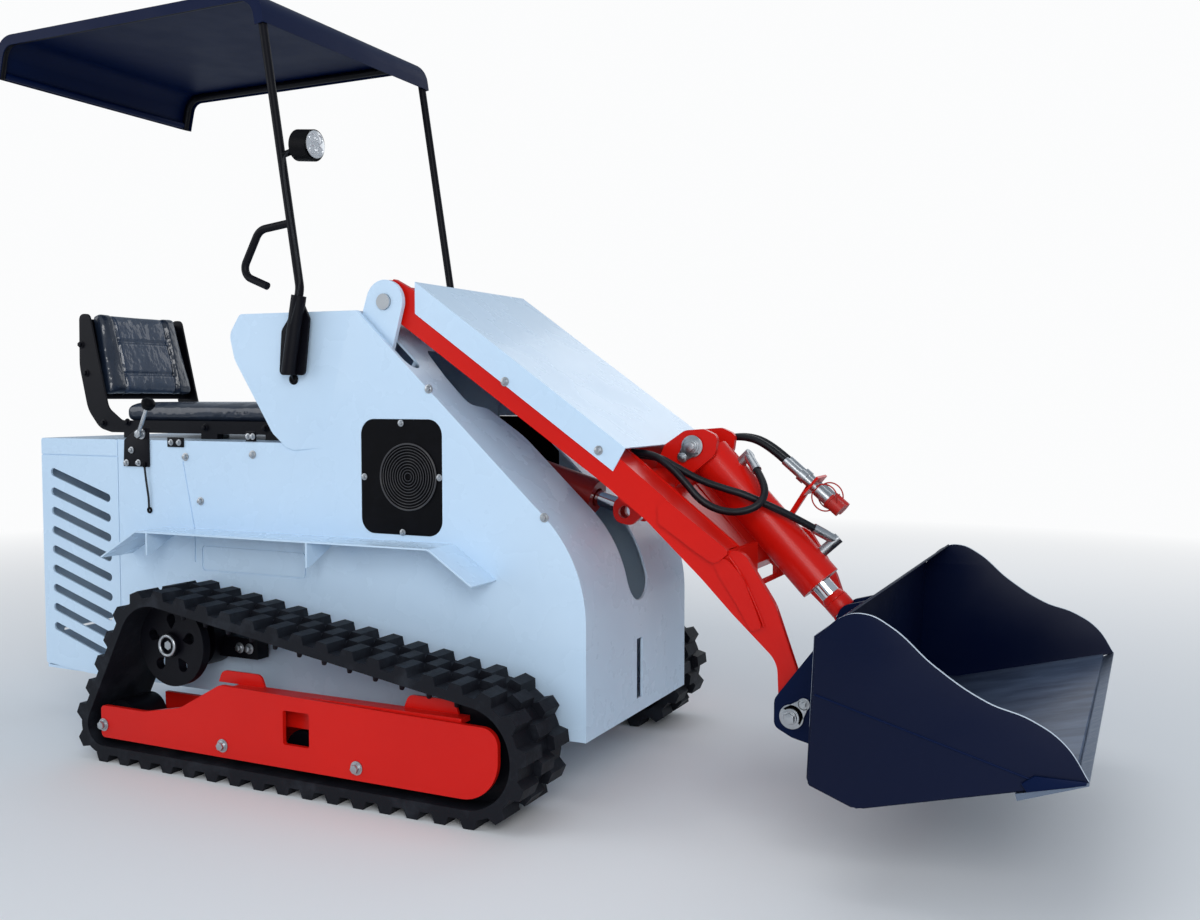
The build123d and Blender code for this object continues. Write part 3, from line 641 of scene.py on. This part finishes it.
# %% Straps
strap_way = Vector((50, 0, -42)).normalized()
straps = []
for y in COUPLER_ROWS:
    start = at(COUPLER[0], y, COUPLER[1])
    straps.append(ring(start + strap_way * 0.150, strap_way, 0.0185, 0.0016, 48, 8))
    straps.append(ring(start + strap_way * 0.106, strap_way, 0.0132, 0.0015, 48, 8))
for y in (0.078, 0.136):
    cap = at(COUPLER[0], y, COUPLER[1]) + strap_way * 0.142
    straps.append(ring(cap + Vector((-0.006, 0, 0.004)), (0.15, 1, 0.1), 0.033, 0.0018, 56, 8))
strap = joined(straps)
bpy.ops.object.shade_smooth()
settle(strap, "cap_straps", RED_RUBBER, "boom")
print("cap straps:", len(straps), "rings")

# %% Lamp
LAMP = at(-0.404, -0.355, 1.580)
FRONT = (1, 0, 0)
lamp_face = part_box("lamp")[1].x
print("lamp's face at", round(lamp_face, 3), "m")
glass = cylinder(Vector((lamp_face - 0.004, LAMP.y, LAMP.z)), FRONT, 0.034, 0.0045, 48)
settle(soften(glass, 0.001, 2), "lamp_glass", LENS_GLASS, "chassis")
cups = []
for dy, dz in ((-0.014, 0.014), (0.014, 0.014), (-0.014, -0.014), (0.014, -0.014)):
    middle = Vector((lamp_face + 0.0012, LAMP.y + dy, LAMP.z + dz))
    cups.append(ring(middle, FRONT, 0.0105, 0.0012, 32, 8))
cup = joined(cups)
bpy.ops.object.shade_smooth()
settle(cup, "lamp_cups", CHROME, "chassis")

# %% [markdown]
# ## Rod tails
# A cylinder's rod reaches far back into its barrel and ends in a piston, so that its mouth is never left
# empty when the rod is fully out.  Each tail is one turned bar with a wider collar, inside the bore.

# %% Rod tails


def rod_tail(name, base, eye, radius, bore, start, length, body):
    """The inner part of a chromed rod and its piston; start is measured from the barrel's pin."""
    pin = at(base[0], 0, base[1])
    way = (at(eye[0], 0, eye[1]) - pin).normalized()
    shaft = cylinder(pin + way * start, way, radius, length, 40)
    piston = cylinder(pin + way * start, way, bore - 0.0006, 0.018, 40)
    settle(soften(joined([shaft, piston]), 0.001, 2), name, CHROME, body)
    print(name, "reaches", round(start + length, 3), "m from its pin")


rod_tail("lift_rod_tail", LIFT_BASE, LIFT_EYE, 0.0198, 0.0247, 0.150, 0.275, "lift_rod")
rod_tail("tilt_rod_tail", TILT_BASE, TILT_EYE, 0.0238, 0.0285, 0.120, 0.195, "tilt_rod")

# %% [markdown]
# ## Seat
# Two foam pads under stretched vinyl, still in their clear film.  A bevelled block would look hard, so each
# starts as a slightly small one, is remeshed and swells in a short cloth run with air inside.  The sewn
# channels come after that, because a remesh would fill them, and the film is a crinkled clear coat.

# %% Wrapped vinyl


def wrapped_vinyl(name, colour, dusty):
    """Vinyl under clear film: the coat has its own crinkles."""
    material = moulded(name, colour, dusty, 0.45, 700, 0.0004)
    shader = material.node_tree.nodes["Principled BSDF"]
    shader.inputs["Coat Weight"].default_value = 0.9
    shader.inputs["Coat Roughness"].default_value = 0.08
    bump = material.node_tree.nodes.new("ShaderNodeBump")
    bump.inputs["Strength"].default_value = 0.55
    bump.inputs["Distance"].default_value = 0.014
    folds = noise(material.node_tree, 15, 3, 0.5, (1.0, 1.4, 1.0))
    material.node_tree.links.new(folds, bump.inputs["Height"])
    material.node_tree.links.new(bump.outputs["Normal"], shader.inputs["Coat Normal"])
    return material


BOLSTER = wrapped_vinyl("wrapped_bolster", (0.010, 0.018, 0.036), (0.020, 0.032, 0.058))
CENTRE_PAD = wrapped_vinyl("wrapped_centre", (0.026, 0.044, 0.082), (0.036, 0.058, 0.100))

# %% Swelling and sewing
SEAT_SIDE = 0.177
SEAT_LEAN = radians(14.5)
PAD_EDGE = 0.105
BACK_EDGE = PAD_EDGE * 0.96
VOXEL = 0.006
CLOTH_FRAMES = 20
AIR_PRESSURE = 4


def swollen(piece, cap):
    """Remesh, cloth with air inside, and a cap on how far each point moves."""
    applied(piece, "REMESH", mode="VOXEL", voxel_size=VOXEL)
    rest = [v.co.copy() for v in piece.data.vertices]
    cloth = piece.modifiers.new("cloth", "CLOTH")
    cloth.settings.use_pressure = True
    cloth.settings.uniform_pressure_force = AIR_PRESSURE
    cloth.settings.effector_weights.gravity = 0
    cloth.point_cache.frame_end = CLOTH_FRAMES
    for number in range(1, CLOTH_FRAMES + 1):
        bpy.context.scene.frame_set(number)
    only(piece)
    bpy.ops.object.modifier_apply(modifier=cloth.name)
    for vertex, start in zip(piece.data.vertices, rest):
        step = vertex.co - start
        vertex.co = start + step * min(1.0, cap / max(step.length, 1e-6))
    bpy.context.scene.frame_set(1)
    applied(piece, "SMOOTH", iterations=4)
    applied(piece, "SUBSURF", levels=1)
    bpy.ops.object.shade_smooth()
    return piece


def dip(distance, width, depth):
    """A sewn channel's depth at a distance from its seam."""
    return depth * max(0.0, 1 - (distance / width) ** 2) ** 2


def crown(share):
    """How far a pad rises between its edges; share runs from -1 to 1."""
    return max(0.0, 1 - share * share) ** 0.5


def held(value, low, high):
    return min(max(value, low), high)

# %% Seat cushion
SEAT_SEAMS = (-1.14, -1.04, -0.94, -0.84, -0.74)
seat = swollen(soften(block(at(-1.256, -0.172, 0.8835), at(-0.655, 0.172, 0.926)), 0.014, 4), 0.008)
for vertex in seat.data.vertices:
    x, y, z = vertex.co.x - SHIFT, vertex.co.y, vertex.co.z
    if z > 0.905:
        z += 0.005 * crown(min(1, abs(y) / SEAT_SIDE)) - dip(abs(abs(y) - PAD_EDGE), 0.011, 0.007)
        if abs(y) < PAD_EDGE:
            for seam in SEAT_SEAMS:
                z -= dip(abs(x - seam), 0.010, 0.006)
    vertex.co.z = held(z, 0.8828, 0.9385)
    vertex.co.y = held(y, -SEAT_SIDE, SEAT_SIDE)
    vertex.co.x = held(vertex.co.x, -1.262 + SHIFT, -0.648 + SHIFT)
seat.data.materials.clear()
settle(seat, "seat_pad", BOLSTER, "chassis")
seat.data.materials.append(CENTRE_PAD)
for face in seat.data.polygons:
    face.material_index = int(abs(face.center.y) < PAD_EDGE and face.center.z > 0.91)
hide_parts("seat_cushion")
print("cushion:", len(seat.data.polygons), "faces")

# %% [markdown]
# ## Seat back
# The back is made lying on the origin, upright, where its channels are easy to measure, and is then leaned
# and moved into place in its mesh.  It narrows a little towards the top.

# %% Seat back
BACK_FOOT = at(-1.345, 0, 0.948)
BACK_SEAMS = (0.070, 0.172)
back = swollen(soften(block((0.003, -0.170, 0.004), (0.034, 0.170, 0.264)), 0.011, 4), 0.007)
for vertex in back.data.vertices:
    x, y, z = vertex.co
    y *= 1 - 0.10 * max(0.0, z - 0.05) / 0.22
    if x > 0.018:
        x += 0.004 - dip(abs(abs(y) - BACK_EDGE), 0.010, 0.009)
        if abs(y) < BACK_EDGE:
            x -= 0.005
            for seam in BACK_SEAMS:
                x -= dip(abs(z - seam), 0.009, 0.006)
    vertex.co = (held(x, 0.001, 0.046), held(y, -SEAT_SIDE, SEAT_SIDE), held(z, 0.0, 0.269))
back.data.transform(Matrix.Translation(BACK_FOOT) @ Matrix.Rotation(-SEAT_LEAN, 4, "Y"))
settle(back, "seat_backrest", BOLSTER, "chassis")
back.data.materials.append(CENTRE_PAD)
lean = Vector((cos(SEAT_LEAN), 0, sin(SEAT_LEAN)))
for face in back.data.polygons:
    in_front = (face.center - BACK_FOOT).dot(lean) > 0.022
    face.material_index = int(abs(face.center.y) < BACK_EDGE and in_front)
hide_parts("seat_back")
print("back:", len(back.data.polygons), "faces")

# %% [markdown]
# ## Seat bolts
# Black bolts hold the two bent side plates of the seat's pan.  They are the body's bolts again, painted, in
# the same places on both sides.

# %% Seat bolts
SEAT_PLATE = 0.186
seat_bolts = [(-1.409, 1.111), (-1.391, 1.025), (-1.3216, 0.875), (-1.2235, 0.878), (-0.92, 0.866),
              (-0.70, 0.866)]
bolts("seat_bolts", sided_bolts(seat_bolts, SEAT_PLATE, 0.015), "chassis", BLACK)

# %% [markdown]
# ## Throttle
# A zinc lever with a black knob turns on a plate at the deck's edge, and its cable goes down to the engine.
# The plate is an outline pushed out, the lever is turned bars, and the knob is three cones, softened until
# they read as one moulding; a sphere would be too round.

# %% Throttle
BRACKET_FACE = -BODY_HALF - 0.006
LEVER_Y = -BODY_HALF - 0.018
THROTTLE_PIN = at(-1.029, BRACKET_FACE, 0.850)
BRACKET = [(-1.102, 0.758), (-1.004, 0.758), (-1.004, 0.866), (-1.040, 0.872), (-1.098, 0.832)]
bracket = plate(BRACKET, BRACKET_FACE, -BODY_HALF)
settle(soften(bracket, 0.002, 3), "throttle_plate", BLACK, "chassis")
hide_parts("throttle")
rod_start = at(-1.029, LEVER_Y, 0.850)
rod_end = at(-0.993, LEVER_Y, 0.925)
lever = joined([cylinder(rod_start, rod_end - rod_start, 0.0055, 0.083, 24),
                cylinder(THROTTLE_PIN, OUT, 0.010, 0.008, 32),
                cylinder(THROTTLE_PIN + Vector((0, -0.008, 0)), OUT, 0.012, 0.009, 6),
                cylinder(THROTTLE_PIN, OUT, 0.015, 0.0022, 32)])
settle(soften(lever, 0.0008, 2), "throttle_lever", ZINC, "chassis")
knob_way = Vector((36, 0, 75)).normalized()
knob_foot = at(-0.996, LEVER_Y, 0.919)
knob = joined([cylinder(knob_foot, knob_way, 0.012, 0.012, 40, 0.0185),
               cylinder(knob_foot + knob_way * 0.011, knob_way, 0.0185, 0.013, 40, 0.0195),
               cylinder(knob_foot + knob_way * 0.023, knob_way, 0.0195, 0.009, 40, 0.010)])
settle(soften(knob, 0.003, 3, 25), "throttle_knob", PLASTIC, "chassis")
print("lever reaches", round((rod_end - rod_start).length, 3), "m")

# %% [markdown]
# ## Throttle cable
# A thin sheathed cable runs from the bracket into the body.

# %% Throttle cable
CABLE_RADIUS = 0.0028
CABLE = [(-1.018, -0.3185, 0.763), (-1.016, -0.3185, 0.740), (-1.011, -0.3170, 0.700),
         (-1.006, -0.3160, 0.665), (-1.008, -0.3150, 0.640)]
cable = tube("throttle_cable", [at(*place) for place in CABLE], CABLE_RADIUS)
cable.data.materials.append(HOSE_RUBBER)
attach(cable, "chassis")
grommet = ring(at(-1.008, -0.3125, 0.637), LEFT, 0.0062, 0.0030, 32, 10)
ferrule = cylinder(at(-1.018, -0.3185, 0.757), (0, 0, 1), 0.005, 0.014, 24)
settle(joined([grommet, soften(ferrule, 0.0008, 2)]), "cable_ends", PLASTIC, "chassis")

# %% [markdown]
# ## Feet of the deck
# Small black hinge feet stand at the deck's edge, each with two screws.  They are softened blocks in four
# places, joined into one piece.

# %% Feet of the deck
feet = []
for x_from, x_to, z_from, z_to in ((-0.935, -0.876, 0.815, 0.842), (-0.654, -0.620, 0.835, 0.862)):
    for y_from, y_to in ((-BODY_HALF - 0.005, -BODY_HALF), (BODY_HALF, BODY_HALF + 0.005)):
        feet.append(block(at(x_from, y_from, z_from), at(x_to, y_to, z_to)))
settle(soften(joined(feet), 0.0016, 2), "deck_feet", BLACK, "chassis")
screws = [(-0.920, 0.828), (-0.891, 0.828), (-0.645, 0.848), (-0.629, 0.848)]
bolts("deck_feet_bolts", sided_bolts(screws, BODY_HALF + 0.005, SCREW), "chassis", ZINC)

# %% [markdown]
# ## Lamp wire
# The lamp's wire leaves the tower by a grommet and climbs the post to the lamp.  It is fixed all the way, so
# it is a plain tube that follows the post, and not a cord.

# %% Lamp wire
WIRE_ROUTE = [(-0.486, -0.3175, 0.998), (-0.485, -0.335, 1.008), (-0.470, -0.352, 1.060),
              (-0.452, -0.374, 1.120), (-0.4235, -0.3685, 1.215), (-0.4205, -0.3665, 1.260),
              (-0.4770, -0.3670, 1.540), (-0.455, -0.3640, 1.570), (-0.430, -0.355, 1.590)]
wiring = as_mesh(tube("lamp_wire", [at(*place) for place in WIRE_ROUTE], 0.0026))
settle(wiring, "lamp_wire", HOSE_RUBBER, "chassis")
plugs = [ring(at(-0.486, -0.3185, 0.998), LEFT, 0.0095, 0.0045, 36, 10),
         cylinder(at(-0.486, -0.3150, 0.998), OUT, 0.009, 0.006, 28)]
settle(joined(plugs), "wire_grommet", PLASTIC, "chassis")

# %% [markdown]
# ## Hubs and motor bolts
# A bright ring and a nut show in each sprocket's hub, and two bolts beside it hold the drive motor.

# %% Hubs and motor bolts
hubs = []
for sign in (-1, 1):
    way = (0, sign, 0)
    hubs.append(ring(at(SPROCKET[0], sign * 0.4945, SPROCKET[1]), way, 0.0255, 0.0045, 48, 10))
    hubs.append(cylinder(at(SPROCKET[0], sign * 0.486, SPROCKET[1]), way, 0.012, 0.007, 6))
hub = joined(hubs)
bpy.ops.object.shade_smooth_by_angle(angle=radians(40))
settle(hub, "sprocket_rings", ZINC, "chassis")
bolts("motor_bolts", sided_bolts([(-0.600, 0.295), (-0.632, 0.295)], 0.372, 0.018), "chassis", ZINC)

# %% [markdown]
# ## Guide teeth
# Rubber teeth on the inside of the track keep it on its wheels.  They hang in a row under the upper run,
# which slopes from the sprocket down to the idler, so one loop steps along that line.

# %% Guide teeth
TEETH = 12
TOOTH_PITCH = 0.0755
run_start, run_end = Vector((SPROCKET[0], 0, SPROCKET[1])), Vector((IDLER[0], 0, IDLER[1]))
slope = (run_end - run_start).normalized()
upright = Vector((-slope.z, 0, slope.x))
teeth = []
for number in range(TEETH):
    foot = run_start + slope * (0.05 + TOOTH_PITCH * number) + upright * (0.110 + 0.0005 * number)
    for sign in (-1, 1):
        root = Vector((foot.x + SHIFT, sign * 0.499, foot.z + 0.003))
        teeth.append(cylinder(root, -upright, 0.0125, 0.032, 20, 0.005))
print("guide teeth:", len(teeth))
settle(soften(joined(teeth), 0.002, 2), "guide_teeth", RUBBER, "chassis")

# %% [markdown]
# ## Controls and rear door
# Behind the tower are two levers with ribbed boots, an hour meter and a key switch.  Boots and grips are
# stacks of rings along the lever's own direction, because their ribs show best where they catch the light.

# %% Levers
PANEL_WAY = Vector((-0.836, 0, 0.549))
STICK_WAY = Vector((-0.067, 0, 0.044)).normalized()
RIBS = 4
boots, grips = [], []
for y in (-0.110, 0.110):
    foot = at(-0.536, y, 1.0847)
    for step in range(RIBS):
        rib = foot + STICK_WAY * (0.004 + 0.008 * step)
        boots.append(ring(rib, STICK_WAY, 0.0215 - 0.0035 * step, 0.0042, 40, 10))
    tip = foot + STICK_WAY * 0.086
    grips.append(cylinder(tip, STICK_WAY, 0.0145, 0.010, 36, 0.0105))
    for step in range(RIBS):
        grips.append(ring(foot + STICK_WAY * (0.050 + 0.010 * step), STICK_WAY, 0.0138, 0.0016, 36, 8))
boot = joined(boots)
bpy.ops.object.shade_smooth()
settle(boot, "lever_boots", RUBBER, "chassis")
settle(soften(joined(grips), 0.0016, 2), "lever_grips", PLASTIC, "chassis")
print("levers: 2, with", RIBS, "ribs a boot")

# %% [markdown]
# ## Panel
# The hour meter is a bezel round a glass disc, and the key switch a smaller one with a key in it.  Both
# stand square to the sloping panel, so they share its direction.

# %% Panel
meter = at(-0.5330, 0.0, 1.0895)
switch = meter + Vector((0, 0.075, 0))
bezel = joined([ring(meter + PANEL_WAY * 0.004, PANEL_WAY, 0.026, 0.0036, 56, 10),
                cylinder(switch - PANEL_WAY * 0.001, PANEL_WAY, 0.012, 0.007, 32),
                ring(switch + PANEL_WAY * 0.006, PANEL_WAY, 0.0095, 0.0022, 40, 8)])
bpy.ops.object.shade_smooth_by_angle(angle=radians(40))
settle(bezel, "panel_bezels", PLASTIC, "chassis")
dial = cylinder(meter - PANEL_WAY * 0.001, PANEL_WAY, 0.0245, 0.0045, 56)
settle(soften(dial, 0.0012, 2), "hour_meter_glass", LENS_GLASS, "chassis")
key = block(meter + Vector((-0.010, 0.0715, 0.004)), meter + Vector((-0.004, 0.0785, 0.026)))
settle(soften(key, 0.0012, 2), "key", ZINC, "chassis")
print("panel at", round(meter.z, 3), "m up")

# %% [markdown]
# ## Rear door fittings
# The door has a turn latch and two hinge leaves with four screws each.  They ride on the door, so that they
# swing with it, and they are placed from the door's own box.

# %% Rear door fittings
HINGES = (0.360, 0.700)
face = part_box("rear_door")[0].x
latch = [block((face - 0.004, -0.238, 0.500), (face, -0.196, 0.600)),
         block((face - 0.012, -0.226, 0.535), (face - 0.004, -0.208, 0.592)),
         cylinder((face - 0.010, -0.217, 0.530), (1, 0, 0), 0.014, 0.008, 36)]
settle(soften(joined(latch), 0.002, 2), "door_latch", BLACK, "rear_door")
leaves = [block((face - 0.003, 0.225, z - 0.028), (face, 0.272, z + 0.028)) for z in HINGES]
settle(soften(joined(leaves), 0.001, 2), "hinge_leaves", WHITE, "rear_door")
leaf_screws = [((face - 0.003, y, z + step), (-1, 0, 0), SCREW) for z in HINGES
               for y in (0.238, 0.259) for step in (-0.015, 0.015)]
bolts("leaf_screws", leaf_screws, "rear_door", ZINC)

# %% [markdown]
# ## Weld beads
# The boom is welded from plate, and beads run where stiffeners and ears stand on the arms.  Bump alone would
# vanish from the side, so each bead is a thin round line half sunk into its joint.

# %% Weld beads


def bead(points, radius=0.0028):
    """One run of weld through its points."""
    return as_mesh(tube("bead", [at(*place) for place in points], radius, 6))


beads = []
for sign in (-1, 1):
    y = sign * 0.2705
    beads.append(bead([(0.518, y, 0.708), (0.520, y, 0.668), (0.608, y, 0.608), (0.655, y, 0.582)]))
    beads.append(bead([(0.664, y, 0.556), (0.703, y, 0.499), (0.739, y, 0.439)]))
    beads.append(bead([(0.684, y, 0.600), (0.723, y, 0.556), (0.766, y, 0.450)]))
    beads.append(bead([(0.455, sign * 0.0735, 0.752), (0.640, sign * 0.0735, 0.556)]))
settle(joined(beads), "boom_welds", RED, "boom")
print("weld beads:", len(beads))

# %% [markdown]
# ## Rod end
# The tilt rod ends in a red clevis, a turned block that narrows to the rod.  A bar and a cone on the rod's
# own line make it, and it rides on the rod.

# %% Clevis
rod_way = (at(TILT_BASE[0], 0, TILT_BASE[1]) - at(TILT_EYE[0], 0, TILT_EYE[1])).normalized()
eye = at(TILT_EYE[0], 0, TILT_EYE[1])
clevis = joined([cylinder(eye + rod_way * 0.026, rod_way, 0.031, 0.030, 40),
                 cylinder(eye + rod_way * 0.056, rod_way, 0.031, 0.016, 40, 0.025)])
settle(soften(clevis, 0.002, 2), "tilt_clevis", RED, "tilt_rod")
print("clevis at", [round(v, 3) for v in eye])

# %% [markdown]
# ## Bucket paint
# The bucket is navy, but its plates' edges are rubbed bright and its floor is scoured by earth.  Painting the
# wear by hand would need an image, so it is worked out from where a point lies and which way it faces.

# %% Bucket paint
BUCKET_HALF = 0.570
BUCKET_PLATE = 0.008
FLOOR_SLOPE, FLOOR_FOOT = 0.2613, -0.0935


def worn_bucket():
    """Navy paint; the plates' edges are bright and the floor is scoured to a pale blue-grey."""
    material = gloss_paint(
        "scoured_navy_paint", (0.0008, 0.0036, 0.021), (0.0012, 0.0048, 0.026), 0.36, 0.0, 0.15)
    tree = material.node_tree
    base = tree.nodes["Principled BSDF"].inputs["Base Color"].links[0].from_socket
    split = tree.nodes.new("ShaderNodeSeparateXYZ")
    tree.links.new(coordinates(tree), split.inputs[0])
    normal = tree.nodes.new("ShaderNodeSeparateXYZ")
    surface = tree.nodes.new("ShaderNodeTexCoord")
    tree.links.new(surface.outputs["Normal"], normal.inputs[0])

    def maths(kind, first, second):
        node = tree.nodes.new("ShaderNodeMath")
        node.operation = kind
        for socket, value in ((node.inputs[0], first), (node.inputs[1], second)):
            if isinstance(value, (int, float)):
                socket.default_value = value
            else:
                tree.links.new(value, socket)
        return node.outputs[0]

    out = maths("ABSOLUTE", split.outputs["Y"], 0)
    facing = maths("ABSOLUTE", normal.outputs["Y"], 0)
    at_edge = maths("GREATER_THAN", out, BUCKET_HALF - 0.0085)
    edge = maths("MULTIPLY", at_edge, maths("LESS_THAN", facing, 0.6))
    floor_line = maths("ADD", maths("MULTIPLY", split.outputs["X"], FLOOR_SLOPE), FLOOR_FOOT)
    above = maths("SUBTRACT", split.outputs["Z"], floor_line)
    within = maths("LESS_THAN", out, BUCKET_HALF - 0.0085)
    near_floor = maths("MULTIPLY", maths("LESS_THAN", above, 0.012), within)
    along = spread(tree, split.outputs["X"], 0.25, 1.0, 1.05, 1.45)
    scour = spread(tree, noise(tree, 9, 6, 0.6, (0.6, 2.0, 1.0)), 0.45, 1.0, 0.35, 0.65)
    worn = maths("MULTIPLY", maths("MULTIPLY", near_floor, along), scour)
    floor_colour = blend_colours(tree, worn, base, (0.11, 0.15, 0.23))
    set_shader(material, "Base Color", blend_colours(tree, edge, floor_colour, (0.62, 0.70, 0.80)))
    return material


SCOURED = worn_bucket()

# %% [markdown]
# ## Bucket shell
# The shell is folded from plate: two side plates whose upper edges sweep down in an S, and a floor and back
# in one sheet.  An S drawn with corners would show flats, so the sides are filled Bezier outlines, whose
# knots are smooth or sharp.

# %% Bucket shell


def bezier_plate(name, knots, y_from, y_to):
    """Flat plate whose outline is a closed Bezier curve; each knot says if it is smooth or a corner."""
    curve = bpy.data.curves.new(name, "CURVE")
    curve.dimensions = "2D"
    curve.fill_mode = "BOTH"
    curve.resolution_u = 14
    line = curve.splines.new("BEZIER")
    line.bezier_points.add(len(knots) - 1)
    line.use_cyclic_u = True
    for point, (x, z, kind) in zip(line.bezier_points, knots):
        point.co = (x + SHIFT, z, 0)
        point.handle_left_type = point.handle_right_type = kind
    curve.extrude = abs(y_to - y_from) / 2
    only(linked(name, curve))
    bpy.ops.object.convert(target="MESH")
    piece = bpy.context.object
    stand = Matrix.Translation((0, (y_from + y_to) / 2, 0)) @ Matrix.Rotation(radians(90), 4, "X")
    piece.data.transform(stand)
    applied(piece, "WELD", merge_threshold=0.0002)
    face_out()
    return soften(piece, 0.0012, 2, 50)


SHARP = [(1.440, 0.292), (1.040, 0.186), (0.948, 0.220), (0.962, 0.498)]
SMOOTH = [(1.010, 0.544), (1.052, 0.552), (1.100, 0.532), (1.180, 0.466), (1.270, 0.412), (1.345, 0.388),
          (1.400, 0.352)]
side_knots = [(x, z, "VECTOR") for x, z in SHARP] + [(x, z, "AUTO") for x, z in SMOOTH]
shell = [bezier_plate("side", side_knots, sign * (BUCKET_HALF - BUCKET_PLATE), sign * BUCKET_HALF)
         for sign in (-1, 1)]
WRAP = [(1.415, 0.288), (1.050, 0.1925), (1.028, 0.192), (0.956, 0.219), (0.951, 0.230), (0.963, 0.500),
        (1.025, 0.549), (1.022, 0.553), (0.955, 0.502), (0.943, 0.228), (0.948, 0.214), (1.028, 0.184),
        (1.052, 0.185), (1.417, 0.281)]
inside = BUCKET_HALF - 0.0078
shell.append(soften(plate(WRAP, -inside, inside), 0.001, 1, 50))
bucket = joined(shell)
settle(bucket, "bucket_plates", SCOURED, "bucket")
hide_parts("bucket_shell")
edge_slots = frame["nodes"]["cutting_edge"].material_slots
edge_slots[0].material = bare_metal("scoured_steel", (0.17, 0.21, 0.28), 0.42, 0.1, (1.0, 6.0, 1.0))
print("bucket:", len(bucket.data.polygons), "faces")

# %% [markdown]
# ## Bucket details
# A weld seam and a wear runner show on each side of the bucket, and its pins have the boom's retainers.  The
# seam is a bead like the boom's, and the runner a small plate that stands 6 mm proud.

# %% Bucket details
RUNNER = [(1.330, 0.276), (1.352, 0.293), (1.436, 0.294), (1.436, 0.288), (1.340, 0.262)]
for side, sign in (("right", -1), ("left", 1)):
    y = sign * BUCKET_HALF
    line = bead([(0.960, y, 0.392), (1.150, y, 0.339), (1.352, y, 0.283)], 0.0022)
    settle(line, "side_seam_" + side, NAVY, "bucket")
    runner = plate(RUNNER, y, y + sign * 0.006)
    settle(soften(runner, 0.0015, 2), "side_runner_" + side, NAVY, "bucket")
    retainer("bucket_retainer_" + side, BUCKET_PIVOT, (0.862, 0.296), sign * 0.2905, "bucket", 0.027)
    pin_face = at(BUCKET_PIVOT[0], sign * 0.3000, BUCKET_PIVOT[1])
    bolts("bucket_pin_bolt_" + side, [(pin_face, (0, sign, 0), 0.025)], "bucket", ZINC)

# %% [markdown]
# ## Studio
# A pale floor that fades to white with distance, large soft lamps and an even world.  A white wall would show
# its corner, and brighter lamps would bleach the paint, so only the camera's own rays see the white.

# %% Floor
FLOOR_RADIUS = 30.0
WHITE_GLOW = (0.97, 0.975, 0.98, 1)
deselect()
bpy.ops.mesh.primitive_circle_add(
    vertices=96, radius=FLOOR_RADIUS, fill_type="NGON", location=(0, 0, -0.0005))
floor = bpy.context.object
floor.name = "studio_floor"
paper = new_finish("floor_paper", (0.84, 0.85, 0.86), 0.9)
tree = paper.node_tree
length = tree.nodes.new("ShaderNodeVectorMath")
length.operation = "LENGTH"
tree.links.new(coordinates(tree), length.inputs[0])
away = spread(tree, length.outputs["Value"], 0, 1, 1.8, 6.5)
glow = tree.nodes.new("ShaderNodeEmission")
glow.inputs["Color"].default_value = WHITE_GLOW
look = tree.nodes.new("ShaderNodeLightPath")
seen = tree.nodes.new("ShaderNodeMath")
seen.operation = "MULTIPLY"
tree.links.new(away, seen.inputs[0])
tree.links.new(look.outputs["Is Camera Ray"], seen.inputs[1])
mixer = tree.nodes.new("ShaderNodeMixShader")
tree.links.new(seen.outputs[0], mixer.inputs[0])
tree.links.new(tree.nodes["Principled BSDF"].outputs[0], mixer.inputs[1])
tree.links.new(glow.outputs[0], mixer.inputs[2])
tree.links.new(mixer.outputs[0], tree.nodes["Material Output"].inputs["Surface"])
floor.data.materials.append(paper)
print("floor radius", FLOOR_RADIUS, "m")

# %% World
world = bpy.data.worlds.new("studio")
bpy.context.scene.world = world
world.use_nodes = True
sky = world.node_tree
fill = sky.nodes["Background"]
fill.inputs["Color"].default_value = (0.78, 0.88, 1.0, 1)
fill.inputs["Strength"].default_value = 0.46
backdrop = sky.nodes.new("ShaderNodeBackground")
backdrop.inputs["Color"].default_value = WHITE_GLOW
path = sky.nodes.new("ShaderNodeLightPath")
choose = sky.nodes.new("ShaderNodeMixShader")
sky.links.new(path.outputs["Is Camera Ray"], choose.inputs[0])
sky.links.new(fill.outputs[0], choose.inputs[1])
sky.links.new(backdrop.outputs[0], choose.inputs[2])
sky.links.new(choose.outputs[0], sky.nodes["World Output"].inputs["Surface"])
print("world strength", round(fill.inputs["Strength"].default_value, 2))

# %% [markdown]
# ## Lamps
# One large lamp beside the camera models the machine, and three weaker ones lift its shadows.  Small lamps
# would give sharper glints, but their shadows would have hard edges.

# %% Lamps


def soft_lamp(name, place, aim, size, watts):
    """A square area lamp pointed at a place on the machine."""
    bpy.ops.object.light_add(type="AREA", location=place)
    lamp = bpy.context.object
    lamp.name = name
    lamp.data.shape = "SQUARE"
    lamp.data.size = size
    lamp.data.energy = watts
    lamp.rotation_euler = (Vector(aim) - Vector(place)).to_track_quat("-Z", "Y").to_euler()
    print(name, watts, "W")


soft_lamp("key", (2.8, -4.4, 2.5), (0, 0, 0.6), 2.6, 122)
soft_lamp("side_fill", (-4.0, -3.0, 2.4), (-0.4, 0, 0.8), 3.0, 46)
soft_lamp("back_fill", (0.5, 4.5, 3.0), (0, 0, 0.8), 3.0, 34)
soft_lamp("overhead", (0.0, 0.0, 5.5), (0, 0, 0), 3.5, 34)
bpy.context.scene.view_settings.view_transform = "Standard"
